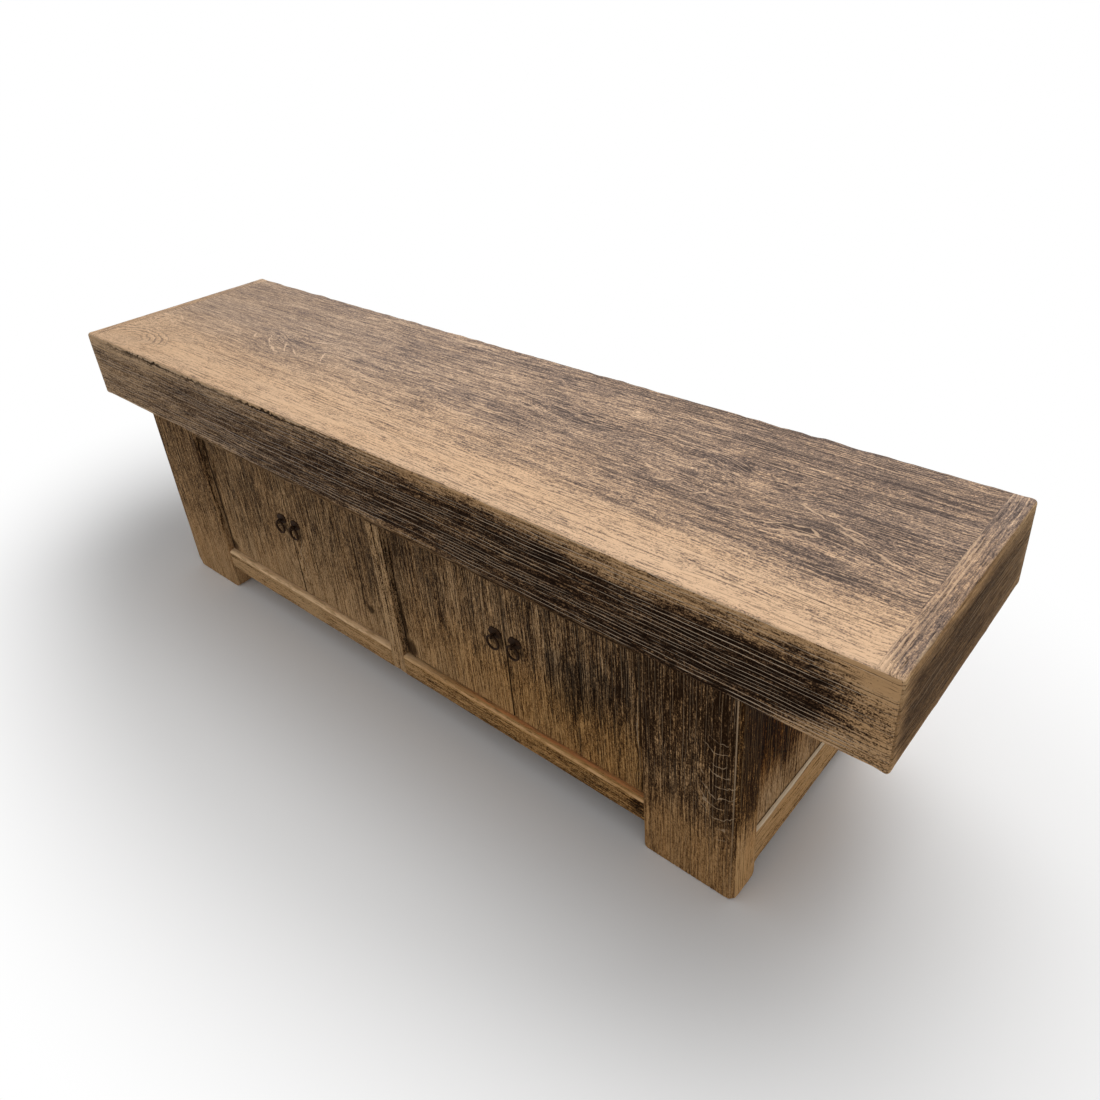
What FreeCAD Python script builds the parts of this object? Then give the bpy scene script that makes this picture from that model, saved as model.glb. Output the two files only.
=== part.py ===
import FreeCAD, Part
import math
import os

# Low plank-topped cabinet of weathered elm. Millimetres, +Z up, front towards -Y.
# The origin is on the floor, under the middle of the top.

# Thick top, built as a box of boards
top_length = 2000.0
top_depth = 480.0
top_thickness = 156.0
total_height = 585.0
top_board_thickness = 36.0
edge_board_thickness = 36.0
end_board_thickness = 36.0
under_board_thickness = 18.0
rib_thickness = 32.0
top_edge_radius = 8.0
end_tongue_thickness = 12.0
end_tongue_length = 14.0
end_tongue_margin = 60.0

# Carcass frame, set in under the top
end_overhang = 202.0
front_overhang = 8.0
leg_width = 180.0
leg_thickness = 57.0
leg_edge_radius = 4.0
leg_step_width = 12.0
leg_step_depth = 2.0
foot_height = 59.0
foot_corner_radius = 10.0
foot_back_radius = 9.0
bottom_rail_height = 49.0
side_rail_height = 70.0
side_rail_cove = 16.0
top_rail_height = 30.0
top_rail_reveal = 14.0
rail_recess = 3.0
rail_bead_radius = 7.0
side_rail_thickness = 40.0
tenon_thickness = 16.0
tenon_length = 34.0
tenon_shoulder = 8.0
stile_width = 38.0
stile_depth = 40.0
stile_tenon_length = 9.0
stile_tenon_width = 20.0
stile_groove_width = 3.0
stile_groove_depth = 2.0

# Panels, floor and partition
panel_thickness = 12.0
panel_recess = 11.0
panel_groove_depth = 8.0
panel_end_gap = 1.0
floor_thickness = 18.0
floor_joint_gap = 0.4
partition_thickness = 18.0
fit_clearance = 0.2

# Dowels that hold the top down on the frame
dowel_diameter = 14.0
dowel_in_frame = 12.0
dowel_in_rib = 40.0
dowel_clearance = 0.05
dowel_inset = 40.0

# Doors
door_thickness = 20.0
door_recess = 14.0
door_gap_below = 3.0
door_gap_above = 2.0
hinge_gap = 1.5
meeting_gap = 2.5
stop_gap = 0.5
pivot_inset = 20.0
pivot_setback = 8.0
pivot_diameter = 10.0
pivot_in_door = 26.0
pivot_in_sill = 14.0
pivot_in_head = 8.0
pivot_clearance = 0.08
relief_clearance = 0.8
batten_height = 40.0
batten_thickness = 14.0
batten_edge_margin = 30.0
batten_end_margin = 30.0

# Ring pulls
pull_below_door_top = 121.0
pull_inset = 24.0
ring_outer_diameter = 32.0
ring_wire = 4.5
eye_wire = 3.0
eye_play = 0.75
eye_plate_gap = 0.3
shank_diameter = 4.0
shank_clearance = 0.1
clench_length = 14.0
clench_width = 4.0
clench_thickness = 2.0
plate_thickness = 2.0
plate_width = 31.0
plate_top_width = 17.0
plate_rise = 13.5
plate_drop = 8.0
plate_shoulder_share = 0.62
plate_flare_share = 0.82

# Extra length by which a cutting shape passes the face that it cuts
overrun = 1.0

# Levels and faces that follow from the sizes above
top_underside = total_height - top_thickness
top_board_under = total_height - top_board_thickness
top_half = top_length / 2
depth_half = top_depth / 2
end_inner = top_half - end_board_thickness
edge_inner = depth_half - edge_board_thickness
rib_floor = top_underside + under_board_thickness
body_half = top_half - end_overhang
leg_inner = body_half - leg_width
front_face = front_overhang - depth_half
leg_back = front_face + leg_thickness
rail_face = front_face + rail_recess
rail_bottom = foot_height
rail_top = foot_height + bottom_rail_height
side_rail_bottom = rail_top - side_rail_height
head_bottom = top_underside - top_rail_height
head_rebate = top_underside - top_rail_reveal
stile_half = stile_width / 2
stile_back = rail_face + stile_depth
side_rail_outer = body_half - rail_recess
side_rail_inner = side_rail_outer - side_rail_thickness
panel_outer = body_half - panel_recess
panel_inner = panel_outer - panel_thickness
back_panel_outer = -front_face - panel_recess
back_panel_inner = back_panel_outer - panel_thickness
door_front = front_face + door_recess
door_back = door_front + door_thickness
stop_face = door_back + stop_gap
pivot_y = door_front + pivot_setback
door_bottom = rail_top + door_gap_below
door_top = head_rebate - door_gap_above
pull_height = door_top - pull_below_door_top
floor_top = rail_top + floor_thickness
meeting_line = (leg_inner + stile_half) / 2
pivot_radius = pivot_diameter / 2
socket_radius = pivot_radius + pivot_clearance
relief_radius = pivot_inset + relief_clearance
eye_hole_radius = ring_wire / 2 + eye_play
eye_radius = eye_hole_radius + eye_wire / 2
plate_face = door_front - plate_thickness
eye_y = plate_face - eye_plate_gap - eye_radius - eye_wire / 2
ring_radius = (ring_outer_diameter - ring_wire) / 2

X_AXIS = FreeCAD.Vector(1, 0, 0)
Y_AXIS = FreeCAD.Vector(0, 1, 0)
Z_AXIS = FreeCAD.Vector(0, 0, 1)

# Each door, from the left: the face that it hangs beside and the way that it runs from there
DOORS = (
    (-leg_inner, 1),
    (-stile_half, -1),
    (stile_half, 1),
    (leg_inner, -1),
)


def block(xs, ys, zs):
    """Box between two places on each axis, given in any order."""
    low = FreeCAD.Vector(min(xs), min(ys), min(zs))
    return Part.makeBox(abs(xs[1] - xs[0]), abs(ys[1] - ys[0]), abs(zs[1] - zs[0]), low)


def grown(xs, ys, zs, clearance):
    """Box as block makes it, larger by a clearance on every side."""
    spans = [(min(s) - clearance, max(s) + clearance) for s in (xs, ys, zs)]
    return block(*spans)


def prism(points, direction):
    """Solid swept from a closed outline of straight runs."""
    return Part.Face(Part.makePolygon(list(points) + [points[0]])).extrude(direction)


def rod(radius, start, end):
    """Round bar between two points."""
    return Part.makeCylinder(radius, (end - start).Length, start, end - start)


def near(place, other):
    """Whether two places on one axis are the same."""
    return abs(place - other) < overrun


def fillet_where(shape, radius, wanted):
    """Rounds the edges whose middle point passes a test."""
    edges = [edge for edge in shape.Edges if wanted(edge.CenterOfMass)]
    return shape.makeFillet(radius, edges)


def save(name, *solids):
    """Writes one node, as one solid or as a group of separate solids."""
    shape = solids[0] if len(solids) == 1 else Part.makeCompound(solids)
    shape.exportStep(os.path.join("parts", name + ".step"))


def pivot_x(hinge_face, way):
    return hinge_face + way * (hinge_gap + pivot_inset)


def beside_meeting_line(hinge_face, way, distance):
    """Place on a door at a distance from the line where it meets the other door of its pair."""
    return math.copysign(meeting_line, hinge_face) - way * distance


# Boxes of the joints inside the frame, used for the tongue and for its slot


def end_tongue(side):
    middle = (total_height + top_board_under) / 2
    ys = (end_tongue_margin - depth_half, depth_half - end_tongue_margin)
    zs = (middle - end_tongue_thickness / 2, middle + end_tongue_thickness / 2)
    return (side * end_inner, side * (end_inner + end_tongue_length)), ys, zs


def rail_tenon(side, face, zs):
    """Tenon of a front (face -1) or back (face 1) rail in the leg at one side."""
    middle = face * -(rail_face + leg_back) / 2
    ys = (middle - tenon_thickness / 2, middle + tenon_thickness / 2)
    return (side * leg_inner, side * (leg_inner + tenon_length)), ys, zs


def side_tenon(side, face, zs):
    """Tenon of a side rail in its front (face -1) or back (face 1) leg."""
    middle = side * (side_rail_outer + side_rail_inner) / 2
    xs = (middle - tenon_thickness / 2, middle + tenon_thickness / 2)
    leg_face = face * -leg_back
    return xs, (leg_face, leg_face + face * tenon_length), zs


def stile_rail_tenon(side):
    """Tenon of a front bottom rail in the centre stile."""
    ys = rail_tenon(side, -1, TENON_LEVELS[0])[1]
    return (side * stile_half, side * (stile_half - stile_tenon_length)), ys, TENON_LEVELS[0]


def stile_head_tenon(face):
    """Tenon of a centre stile in the front (face -1) or back (face 1) top rail."""
    level = head_rebate if face < 0 else head_bottom
    xs = (-stile_tenon_width / 2, stile_tenon_width / 2)
    middle = face * -(rail_face + stop_face) / 2
    ys = (middle - tenon_thickness / 2, middle + tenon_thickness / 2)
    return xs, ys, (level, level + stile_tenon_length)


def stile_sill_tenon():
    """Tenon of the back centre stile in the back bottom rail."""
    xs, ys = stile_head_tenon(1)[:2]
    return xs, ys, (rail_top - stile_tenon_length, rail_top)


TENON_LEVELS = (
    (rail_bottom + tenon_shoulder, rail_top - tenon_shoulder),
    (head_bottom + tenon_shoulder, top_underside - tenon_shoulder),
)
SIDE_TENON_LEVELS = (
    (side_rail_bottom + tenon_shoulder, rail_top - tenon_shoulder),
    TENON_LEVELS[1],
)


def side_panel_spans(side, end_gap):
    reach = panel_groove_depth - end_gap
    ys = (leg_back - reach, -leg_back + reach)
    return (side * panel_inner, side * panel_outer), ys, (rail_top - reach, head_bottom + reach)


def back_panel_spans(side, end_gap):
    reach = panel_groove_depth - end_gap
    xs = (side * (stile_half - reach), side * (leg_inner + reach))
    return xs, (back_panel_inner, back_panel_outer), (rail_top - reach, head_bottom + reach)


def dowel_places():
    """Dowels over the four legs and over the two centre stiles."""
    legs = [(side * (body_half - leg_width / 2), -face * (front_face + dowel_inset))
            for side in (-1, 1) for face in (-1, 1)]
    stiles = [(0, -face * (front_face + dowel_inset)) for face in (-1, 1)]
    return legs + stiles


def dowel(place, radius):
    start = FreeCAD.Vector(place[0], place[1], top_underside - dowel_in_frame)
    end = FreeCAD.Vector(place[0], place[1], rib_floor + dowel_in_rib)
    return rod(radius, start, end)


def with_slots(shape, spans, clearance=fit_clearance):
    """Cuts a slot for each tongue, tenon or panel edge that the piece takes."""
    for xs, ys, zs in spans:
        shape = shape.cut(grown(xs, ys, zs, clearance))
    return shape


def with_dowel_holes(shape):
    for place in dowel_places():
        shape = shape.cut(dowel(place, dowel_diameter / 2 + dowel_clearance))
    return shape


def mitred_plan(face):
    """Room of the front (face -1) or back (face 1) edge board, mitred into the end boards."""
    corners = ((-top_half, depth_half), (top_half, depth_half),
               (end_inner, edge_inner), (-end_inner, edge_inner))
    points = [FreeCAD.Vector(x, face * y, top_underside) for x, y in corners]
    return prism(points, Z_AXIS * top_thickness)


def make_top():
    blank = block((-top_half, top_half), (-depth_half, depth_half), (top_underside, total_height))
    blank = blank.makeFillet(top_edge_radius, blank.Edges)

    def board(corners, reach):
        points = [FreeCAD.Vector(-reach, y, z) for y, z in corners]
        return prism(points, X_AXIS * (2 * reach)).common(blank)

    top = board(((-depth_half, total_height), (depth_half, total_height),
                 (edge_inner, top_board_under), (-edge_inner, top_board_under)), end_inner)
    for side in (-1, 1):
        top = top.fuse(block(*end_tongue(side)))
    save("top_board", top)

    edges = []
    for name, face in (("front", -1), ("back", 1)):
        outline = ((face * depth_half, top_underside), (face * depth_half, total_height),
                   (face * edge_inner, top_board_under), (face * edge_inner, top_underside))
        edge = board(outline, top_half).common(mitred_plan(face))
        edges.append(edge)
        save("top_%s_board" % name, edge)

    for name, side in (("left", -1), ("right", 1)):
        xs = (side * end_inner, side * top_half)
        end = block(xs, (-depth_half, depth_half), (top_underside, total_height)).common(blank)
        save("top_end_board_" + name, with_slots(end.cut(edges), [end_tongue(side)]))

    under = block((-end_inner, end_inner), (-edge_inner, edge_inner), (top_underside, rib_floor))
    save("top_under_board", with_dowel_holes(under))

    rib_middle = body_half - leg_width / 2
    for name, middle in (("left", -rib_middle), ("centre", 0), ("right", rib_middle)):
        xs = (middle - rib_thickness / 2, middle + rib_thickness / 2)
        rib = block(xs, (-edge_inner, edge_inner), (rib_floor, top_board_under))
        save("top_rib_" + name, with_dowel_holes(rib))

    save("top_dowels", *[dowel(place, dowel_diameter / 2) for place in dowel_places()])


def leg_blank(side, face):
    """Wide board leg with worn long edges and a foot that is rounded at its ends and at its back."""
    xs = (side * leg_inner, side * body_half)
    ys = (-face * front_face, -face * leg_back)
    leg = block(xs, ys, (0, top_underside))

    def under_back(middle):
        return near(middle.z, 0) and near(middle.y, ys[1])

    def under_end(middle):
        return near(middle.z, 0) and any(near(middle.x, x) for x in xs)

    def upright(middle):
        return not near(middle.z, 0) and not near(middle.z, top_underside)

    shape = fillet_where(leg, leg_edge_radius, upright)
    shape = shape.common(fillet_where(leg, foot_back_radius, under_back))
    return shape.common(fillet_where(leg, foot_corner_radius, under_end))


def leg_step(side):
    """Shallow step along the outer edge of a front leg."""
    xs = (side * (body_half - leg_step_width), side * (body_half + overrun))
    ys = (front_face - overrun, front_face + leg_step_depth)
    return block(xs, ys, (-overrun, top_underside + overrun))


def make_legs():
    for face_name, face in (("front", -1), ("back", 1)):
        for side_name, side in (("left", -1), ("right", 1)):
            leg = leg_blank(side, face)
            slots = [rail_tenon(side, face, zs) for zs in TENON_LEVELS]
            slots += [side_tenon(side, face, zs) for zs in SIDE_TENON_LEVELS]
            slots += [side_panel_spans(side, 0)]
            if face > 0:
                slots.append(back_panel_spans(side, 0))
            else:
                leg = leg.cut(leg_step(side))
            save("%s_leg_%s" % (face_name, side_name), with_dowel_holes(with_slots(leg, slots)))


def beaded_rail(xs, ys, zs, bead_edge):
    """Bottom rail with a rounded bead along its outer top edge."""
    return fillet_where(block(xs, ys, zs), rail_bead_radius, bead_edge)


def on_top_edge(axis, place):
    """Test for the top edge of a bottom rail that lies at a place on one axis."""
    def test(middle):
        return near(middle.z, rail_top) and near(getattr(middle, axis), place)
    return test


def rail_cove(xs, face):
    """Hollow bracket in the corner between a side rail and its front (face -1) or back (face 1) leg."""
    leg_face = face * -leg_back
    diagonal = side_rail_cove * math.sqrt(0.5)

    def point(along, down):
        return FreeCAD.Vector(min(xs), leg_face - face * along, side_rail_bottom - down)

    corner = point(0, 0)
    rail_end = point(side_rail_cove, 0)
    leg_end = point(0, side_rail_cove)
    hollow = point(side_rail_cove - diagonal, side_rail_cove - diagonal)
    edges = [Part.makeLine(corner, rail_end), Part.Arc(rail_end, hollow, leg_end).toShape(),
             Part.makeLine(leg_end, corner)]
    return Part.Face(Part.Wire(edges)).extrude(X_AXIS * abs(xs[1] - xs[0]))


def make_bottom_rails():
    zs = (rail_bottom, rail_top)
    tenon_zs = TENON_LEVELS[0]
    for name, side in (("left", -1), ("right", 1)):
        ends = (side * stile_half, side * leg_inner)
        rail = beaded_rail(ends, (rail_face, leg_back), zs, on_top_edge("y", rail_face))
        rail = rail.fuse([block(*rail_tenon(side, -1, tenon_zs)), block(*stile_rail_tenon(side))])
        for hinge_face, way in DOORS:
            rail = rail.cut(pivot_socket(hinge_face, way, rail_top - pivot_in_sill, rail_top))
        save("front_bottom_rail_" + name, rail)

        xs = (side * side_rail_inner, side * side_rail_outer)
        rail = beaded_rail(xs, (leg_back, -leg_back), (side_rail_bottom, rail_top),
                           on_top_edge("x", side * side_rail_outer))
        rail = rail.fuse([block(*side_tenon(side, face, SIDE_TENON_LEVELS[0])) for face in (-1, 1)])
        rail = rail.fuse([rail_cove(xs, face) for face in (-1, 1)]).removeSplitter()
        save("side_bottom_rail_" + name, with_slots(rail, [side_panel_spans(side, 0)]))

    back = beaded_rail((-leg_inner, leg_inner), (-leg_back, -rail_face), zs, on_top_edge("y", -rail_face))
    back = back.fuse([block(*rail_tenon(side, 1, tenon_zs)) for side in (-1, 1)])
    slots = [back_panel_spans(side, 0) for side in (-1, 1)] + [stile_sill_tenon()]
    save("back_bottom_rail", with_slots(back, slots))


def pivot_socket(hinge_face, way, low, high):
    """Round hole in a rail for one pivot pin of a door, between two levels."""
    place = FreeCAD.Vector(pivot_x(hinge_face, way), pivot_y, low)
    return Part.makeCylinder(socket_radius, high - low + overrun, place)


def hinge_relief(hinge_face, way, low, high):
    """Room behind the rounded hinge edge of a door, between two levels."""
    place = FreeCAD.Vector(pivot_x(hinge_face, way), pivot_y, low)
    return Part.makeCylinder(relief_radius, high - low, place)


def make_top_rails():
    zs = (head_bottom, top_underside)
    tenon_zs = TENON_LEVELS[1]
    front = block((-leg_inner, leg_inner), (rail_face, leg_back), zs)
    rebate_ys = (rail_face - overrun, stop_face)
    rebate_zs = (head_bottom - overrun, head_rebate)
    front = front.cut(block((-leg_inner, leg_inner), rebate_ys, rebate_zs))
    front = front.fuse([block(*rail_tenon(side, -1, tenon_zs)) for side in (-1, 1)])
    for hinge_face, way in DOORS:
        front = front.cut(hinge_relief(hinge_face, way, head_bottom - overrun, head_rebate))
        low = head_rebate - overrun
        front = front.cut(pivot_socket(hinge_face, way, low, head_rebate + pivot_in_head))
    save("front_top_rail", with_dowel_holes(with_slots(front, [stile_head_tenon(-1)])))

    back = block((-leg_inner, leg_inner), (-leg_back, -rail_face), zs)
    back = back.fuse([block(*rail_tenon(side, 1, tenon_zs)) for side in (-1, 1)])
    slots = [back_panel_spans(side, 0) for side in (-1, 1)] + [stile_head_tenon(1)]
    save("back_top_rail", with_dowel_holes(with_slots(back, slots)))

    for name, side in (("left", -1), ("right", 1)):
        xs = (side * side_rail_inner, side * side_rail_outer)
        rail = block(xs, (leg_back, -leg_back), zs)
        rail = rail.fuse([block(*side_tenon(side, face, tenon_zs)) for face in (-1, 1)])
        save("side_top_rail_" + name, with_slots(rail, [side_panel_spans(side, 0)]))


def make_stiles():
    xs = (-stile_half, stile_half)
    front = block(xs, (rail_face, stile_back), (rail_bottom, head_bottom))
    front = front.fuse(block(xs, (rail_face, stop_face), (head_bottom, head_rebate)))
    groove_xs = (-stile_groove_width / 2, stile_groove_width / 2)
    groove_ys = (rail_face - overrun, rail_face + stile_groove_depth)
    front = front.cut(block(groove_xs, groove_ys, (rail_bottom - overrun, head_rebate + overrun)))
    front = front.fuse(block(*stile_head_tenon(-1))).removeSplitter()
    slots = [stile_rail_tenon(side) for side in (-1, 1)]
    save("front_centre_stile", with_slots(front, slots))

    back = block(xs, (-stile_back, -rail_face), (rail_top, head_bottom))
    back = back.fuse([block(*stile_head_tenon(1)), block(*stile_sill_tenon())])
    slots = [back_panel_spans(side, 0) for side in (-1, 1)]
    save("back_centre_stile", with_slots(back, slots))


def make_panels():
    for name, side in (("left", -1), ("right", 1)):
        save("side_panel_" + name, block(*side_panel_spans(side, panel_end_gap)))
        save("back_panel_" + name, block(*back_panel_spans(side, panel_end_gap)))

        xs = (side * floor_joint_gap / 2, side * (panel_inner - fit_clearance))
        board = block(xs, (stop_face, -stop_face), (rail_top, floor_top))
        for face in (-1, 1):
            corner_xs = (side * leg_inner, side * body_half)
            notches = [(corner_xs, (face * -leg_back, face * -front_face), (rail_top, floor_top))]
            notches += [((-stile_half, stile_half), (face * -stile_back, face * -rail_face),
                         (rail_top, floor_top))]
            board = with_slots(board, notches)
        for hinge_face, way in DOORS:
            board = board.cut(hinge_relief(hinge_face, way, rail_top - overrun, floor_top + overrun))
        save("floor_board_" + name, board)

    xs = (-partition_thickness / 2, partition_thickness / 2)
    wide = block(xs, (stile_back, -stile_back), (floor_top, head_bottom))
    narrow = block(xs, (leg_back, -leg_back), (head_bottom, top_underside))
    save("centre_partition", wide.fuse(narrow).removeSplitter())


def door_board(hinge_face, way):
    """Plank door with its hinge edge rounded about the pivot."""
    centre = pivot_x(hinge_face, way)
    free_edge = beside_meeting_line(hinge_face, way, meeting_gap / 2)
    behind = door_thickness - pivot_setback

    def point(x, y):
        return FreeCAD.Vector(x, y, door_bottom)

    front_start = point(centre - way * math.sqrt(pivot_inset ** 2 - pivot_setback ** 2), door_front)
    back_start = point(centre - way * math.sqrt(pivot_inset ** 2 - behind ** 2), door_back)
    crown = point(centre - way * pivot_inset, pivot_y)
    corners = [back_start, point(free_edge, door_back), point(free_edge, door_front), front_start]
    edges = [Part.makeLine(a, b) for a, b in zip(corners, corners[1:])]
    edges.append(Part.Arc(front_start, crown, back_start).toShape())
    outline = Part.Face(Part.Wire(Part.__sortEdges__(edges)))
    return outline.extrude(Z_AXIS * (door_top - door_bottom))


def pivot_pins(hinge_face, way):
    """Lower and upper pins, each half in the door and half in its rail."""
    x = pivot_x(hinge_face, way)
    spans = ((rail_top - pivot_in_sill, door_bottom + pivot_in_door),
             (door_top - pivot_in_door, head_rebate + pivot_in_head - fit_clearance))
    return [(FreeCAD.Vector(x, pivot_y, low), FreeCAD.Vector(x, pivot_y, high)) for low, high in spans]


def plate_outline(x):
    """Flat-topped plate that flares to a rounded foot."""
    top = pull_height + plate_rise
    shoulder = pull_height + plate_rise - plate_shoulder_share * (plate_rise + plate_drop)
    bend = (top + shoulder) / 2
    half = plate_width / 2
    top_half_width = plate_top_width / 2

    def point(across, z):
        return FreeCAD.Vector(x + across, door_front, z)

    edges = [Part.makeLine(point(-top_half_width, top), point(top_half_width, top))]
    for side in (1, -1):
        waist = side * (top_half_width + plate_flare_share * (half - top_half_width))
        flare = Part.Arc(point(side * top_half_width, top), point(waist, bend), point(side * half, shoulder))
        edges.append(flare.toShape())
    foot = Part.Arc(point(-half, shoulder), point(0, pull_height - plate_drop), point(half, shoulder))
    edges.append(foot.toShape())
    return Part.Face(Part.Wire(Part.__sortEdges__(edges)))


def make_pull(number, x):
    eye_middle = FreeCAD.Vector(x, eye_y, pull_height)
    shank_start = FreeCAD.Vector(x, eye_y + eye_radius, pull_height)
    shank_end = FreeCAD.Vector(x, door_back + clench_thickness, pull_height)
    hole = rod(shank_diameter / 2 + shank_clearance, shank_start, shank_end)
    plate = plate_outline(x).extrude(Y_AXIS * -plate_thickness)
    save("pull_%d_plate" % number, plate.cut(hole))

    loop = Part.makeTorus(eye_radius, eye_wire / 2, eye_middle, X_AXIS)
    shank = rod(shank_diameter / 2, shank_start, shank_end)
    clench = block((x - clench_width / 2, x + clench_width / 2), (door_back, door_back + clench_thickness),
                   (pull_height - clench_length, pull_height + clench_length))
    save("pull_%d_eye" % number, loop.fuse([shank, clench]))

    ring_middle = FreeCAD.Vector(x, eye_y, pull_height - ring_radius)
    save("pull_%d_ring" % number, Part.makeTorus(ring_radius, ring_wire / 2, ring_middle, Y_AXIS))
    return hole


def make_door(number, hinge_face, way):
    pins = pivot_pins(hinge_face, way)
    board = door_board(hinge_face, way)
    for low, high in pins:
        board = board.cut(rod(pivot_radius + dowel_clearance, low, high))
    save("door_%d_pivot_pins" % number, *[rod(pivot_radius, low, high) for low, high in pins])

    batten_end = beside_meeting_line(hinge_face, way, meeting_gap / 2 + batten_end_margin)
    xs = (pivot_x(hinge_face, way), batten_end)
    ys = (door_back, door_back + batten_thickness)
    low = door_bottom + batten_edge_margin
    high = door_top - batten_edge_margin
    save("door_%d_batten_lower" % number, block(xs, ys, (low, low + batten_height)))
    save("door_%d_batten_upper" % number, block(xs, ys, (high - batten_height, high)))

    hole = make_pull(number, beside_meeting_line(hinge_face, way, pull_inset))
    save("door_%d_board" % number, board.cut(hole))


os.makedirs("parts", exist_ok=True)
make_top()
make_legs()
make_bottom_rails()
make_top_rails()
make_stiles()
make_panels()
for number, door in enumerate(DOORS, start=1):
    make_door(number, *door)
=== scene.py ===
import math

import bmesh
import bpy
from mathutils import Matrix, Vector


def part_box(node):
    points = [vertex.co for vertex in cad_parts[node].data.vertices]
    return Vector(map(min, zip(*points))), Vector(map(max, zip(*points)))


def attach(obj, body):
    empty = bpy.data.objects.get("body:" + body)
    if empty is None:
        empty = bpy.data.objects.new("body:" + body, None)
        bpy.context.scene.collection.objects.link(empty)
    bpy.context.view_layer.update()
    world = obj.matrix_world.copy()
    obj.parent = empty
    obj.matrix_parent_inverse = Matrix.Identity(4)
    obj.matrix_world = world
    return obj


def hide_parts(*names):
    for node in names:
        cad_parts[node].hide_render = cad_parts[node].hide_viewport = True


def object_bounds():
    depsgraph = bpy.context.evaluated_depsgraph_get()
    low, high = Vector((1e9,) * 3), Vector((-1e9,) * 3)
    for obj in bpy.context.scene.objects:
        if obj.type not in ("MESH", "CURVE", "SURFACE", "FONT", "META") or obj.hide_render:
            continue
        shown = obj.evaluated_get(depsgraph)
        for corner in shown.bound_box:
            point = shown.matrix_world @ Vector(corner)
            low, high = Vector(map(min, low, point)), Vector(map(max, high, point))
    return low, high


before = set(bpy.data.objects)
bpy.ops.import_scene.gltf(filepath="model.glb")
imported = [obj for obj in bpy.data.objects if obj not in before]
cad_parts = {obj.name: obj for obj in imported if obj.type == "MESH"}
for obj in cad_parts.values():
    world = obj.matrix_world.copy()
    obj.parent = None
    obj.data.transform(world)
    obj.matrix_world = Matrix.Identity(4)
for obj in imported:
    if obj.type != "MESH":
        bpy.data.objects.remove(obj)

# Low cabinet of weathered elm, dressed over its solids. Metres, +Z up, front towards -Y.

X, Y, Z = 0, 1, 2
cad_low, cad_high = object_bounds()
door_numbers = (1, 2, 3, 4)
left_hung_doors = (1, 3)


def box_middle(node):
    """Middle of the box of a solid."""
    low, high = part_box(node)
    return (low + high) / 2


# Places read from the solids
front_board_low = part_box("top_front_board")[0]
back_board_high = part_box("top_back_board")[1]
slab_low = Vector((cad_low.x, front_board_low.y, front_board_low.z))
slab_high = Vector((cad_high.x, back_board_high.y, cad_high.z))
end_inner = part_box("top_end_board_right")[0].x
edge_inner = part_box("top_under_board")[1].y
top_board_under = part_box("top_board")[0].z
leg_low, leg_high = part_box("front_leg_right")
leg_inner = leg_low.x
leg_outer = leg_high.x
leg_front = leg_low.y
stile_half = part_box("front_centre_stile")[1].x
door_low, door_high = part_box("door_4_board")
rail_low, rail_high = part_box("front_bottom_rail_right")
rail_top = rail_high.z
meeting_line = (leg_inner + stile_half) / 2
ring_middles = [box_middle("pull_%d_ring" % number) for number in door_numbers]

# Worn edges
slab_round = 0.008
slab_round_steps = 5
plank_round = 0.0022
plank_round_steps = 3
door_hinge_round = 0.007
door_hinge_steps = 4
foot_back_round = 0.038
foot_outer_round = 0.022
foot_turns = [math.radians(turn) for turn in (15.0, 30.0, 45.0, 60.0, 75.0)]

# Rows of faces that carry the relief of the grain
grain_row = 0.0013
top_grain_row = 0.0017
length_row = 0.014
most_cuts = 80
cut_step = 20
straight_share = 0.99

# Relief of the grain: length and width of a streak, and how deep it sinks
slab_wave = (0.1, 0.04)
slab_wave_depth = 0.0018
end_wave_depth = 0.0008
slab_furrow = (0.16, 0.006)
slab_furrow_depth = 0.0012
end_furrow_depth = 0.0006
frame_furrow = (0.12, 0.007)
plank_furrow = (0.11, 0.006)
board_furrow_depth = 0.0008
forged_dent = (0.003, 0.003)
forged_depth = 0.00018
grain_contrast = 1.6
seam_reach = 0.01

# Dents along the upper long edges, alike all the way across an edge
arris_reach = 0.03
arris_dents = (0.05, 10.0, 10.0)
arris_depth = 0.0022
arris_octaves = 3
arris_contrast = 2.2

# Skins of small faces
leg_voxel = 0.0017
stile_voxel = 0.0014
front_rail_voxel = 0.0018
side_rail_voxel = 0.002
head_voxel = 0.0025
back_voxel = 0.003
iron_voxel = 0.0004
eye_voxel = 0.0003
frame_smoothing = 3
iron_smoothing = 2
smoothing_share = 0.5
merge_distance = 0.00001
smooth_angle = math.radians(40)


# Modelling steps


def alone(obj):
    """Makes one object the only selected one and the active one."""
    bpy.ops.object.select_all(action="DESELECT")
    obj.select_set(True)
    bpy.context.view_layer.objects.active = obj


def open_whole(obj):
    """Opens a mesh with all of it selected."""
    alone(obj)
    bpy.ops.object.mode_set(mode="EDIT")
    bpy.ops.mesh.select_all(action="SELECT")


def close_mesh():
    """Ends the work on an open mesh."""
    bpy.ops.object.mode_set(mode="OBJECT")


def settle(obj, modifier):
    """Applies a modifier to its object."""
    alone(obj)
    bpy.ops.object.modifier_apply(modifier=modifier.name)


def block(name, low, high):
    """Box between two corners, with its place in its mesh."""
    bpy.ops.object.select_all(action="DESELECT")
    bpy.ops.mesh.primitive_cube_add(size=1, location=(low + high) / 2, scale=high - low)
    obj = bpy.context.object
    bpy.ops.object.transform_apply(location=True, rotation=True, scale=True)
    obj.name = name
    obj.data.name = name
    return obj


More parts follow.
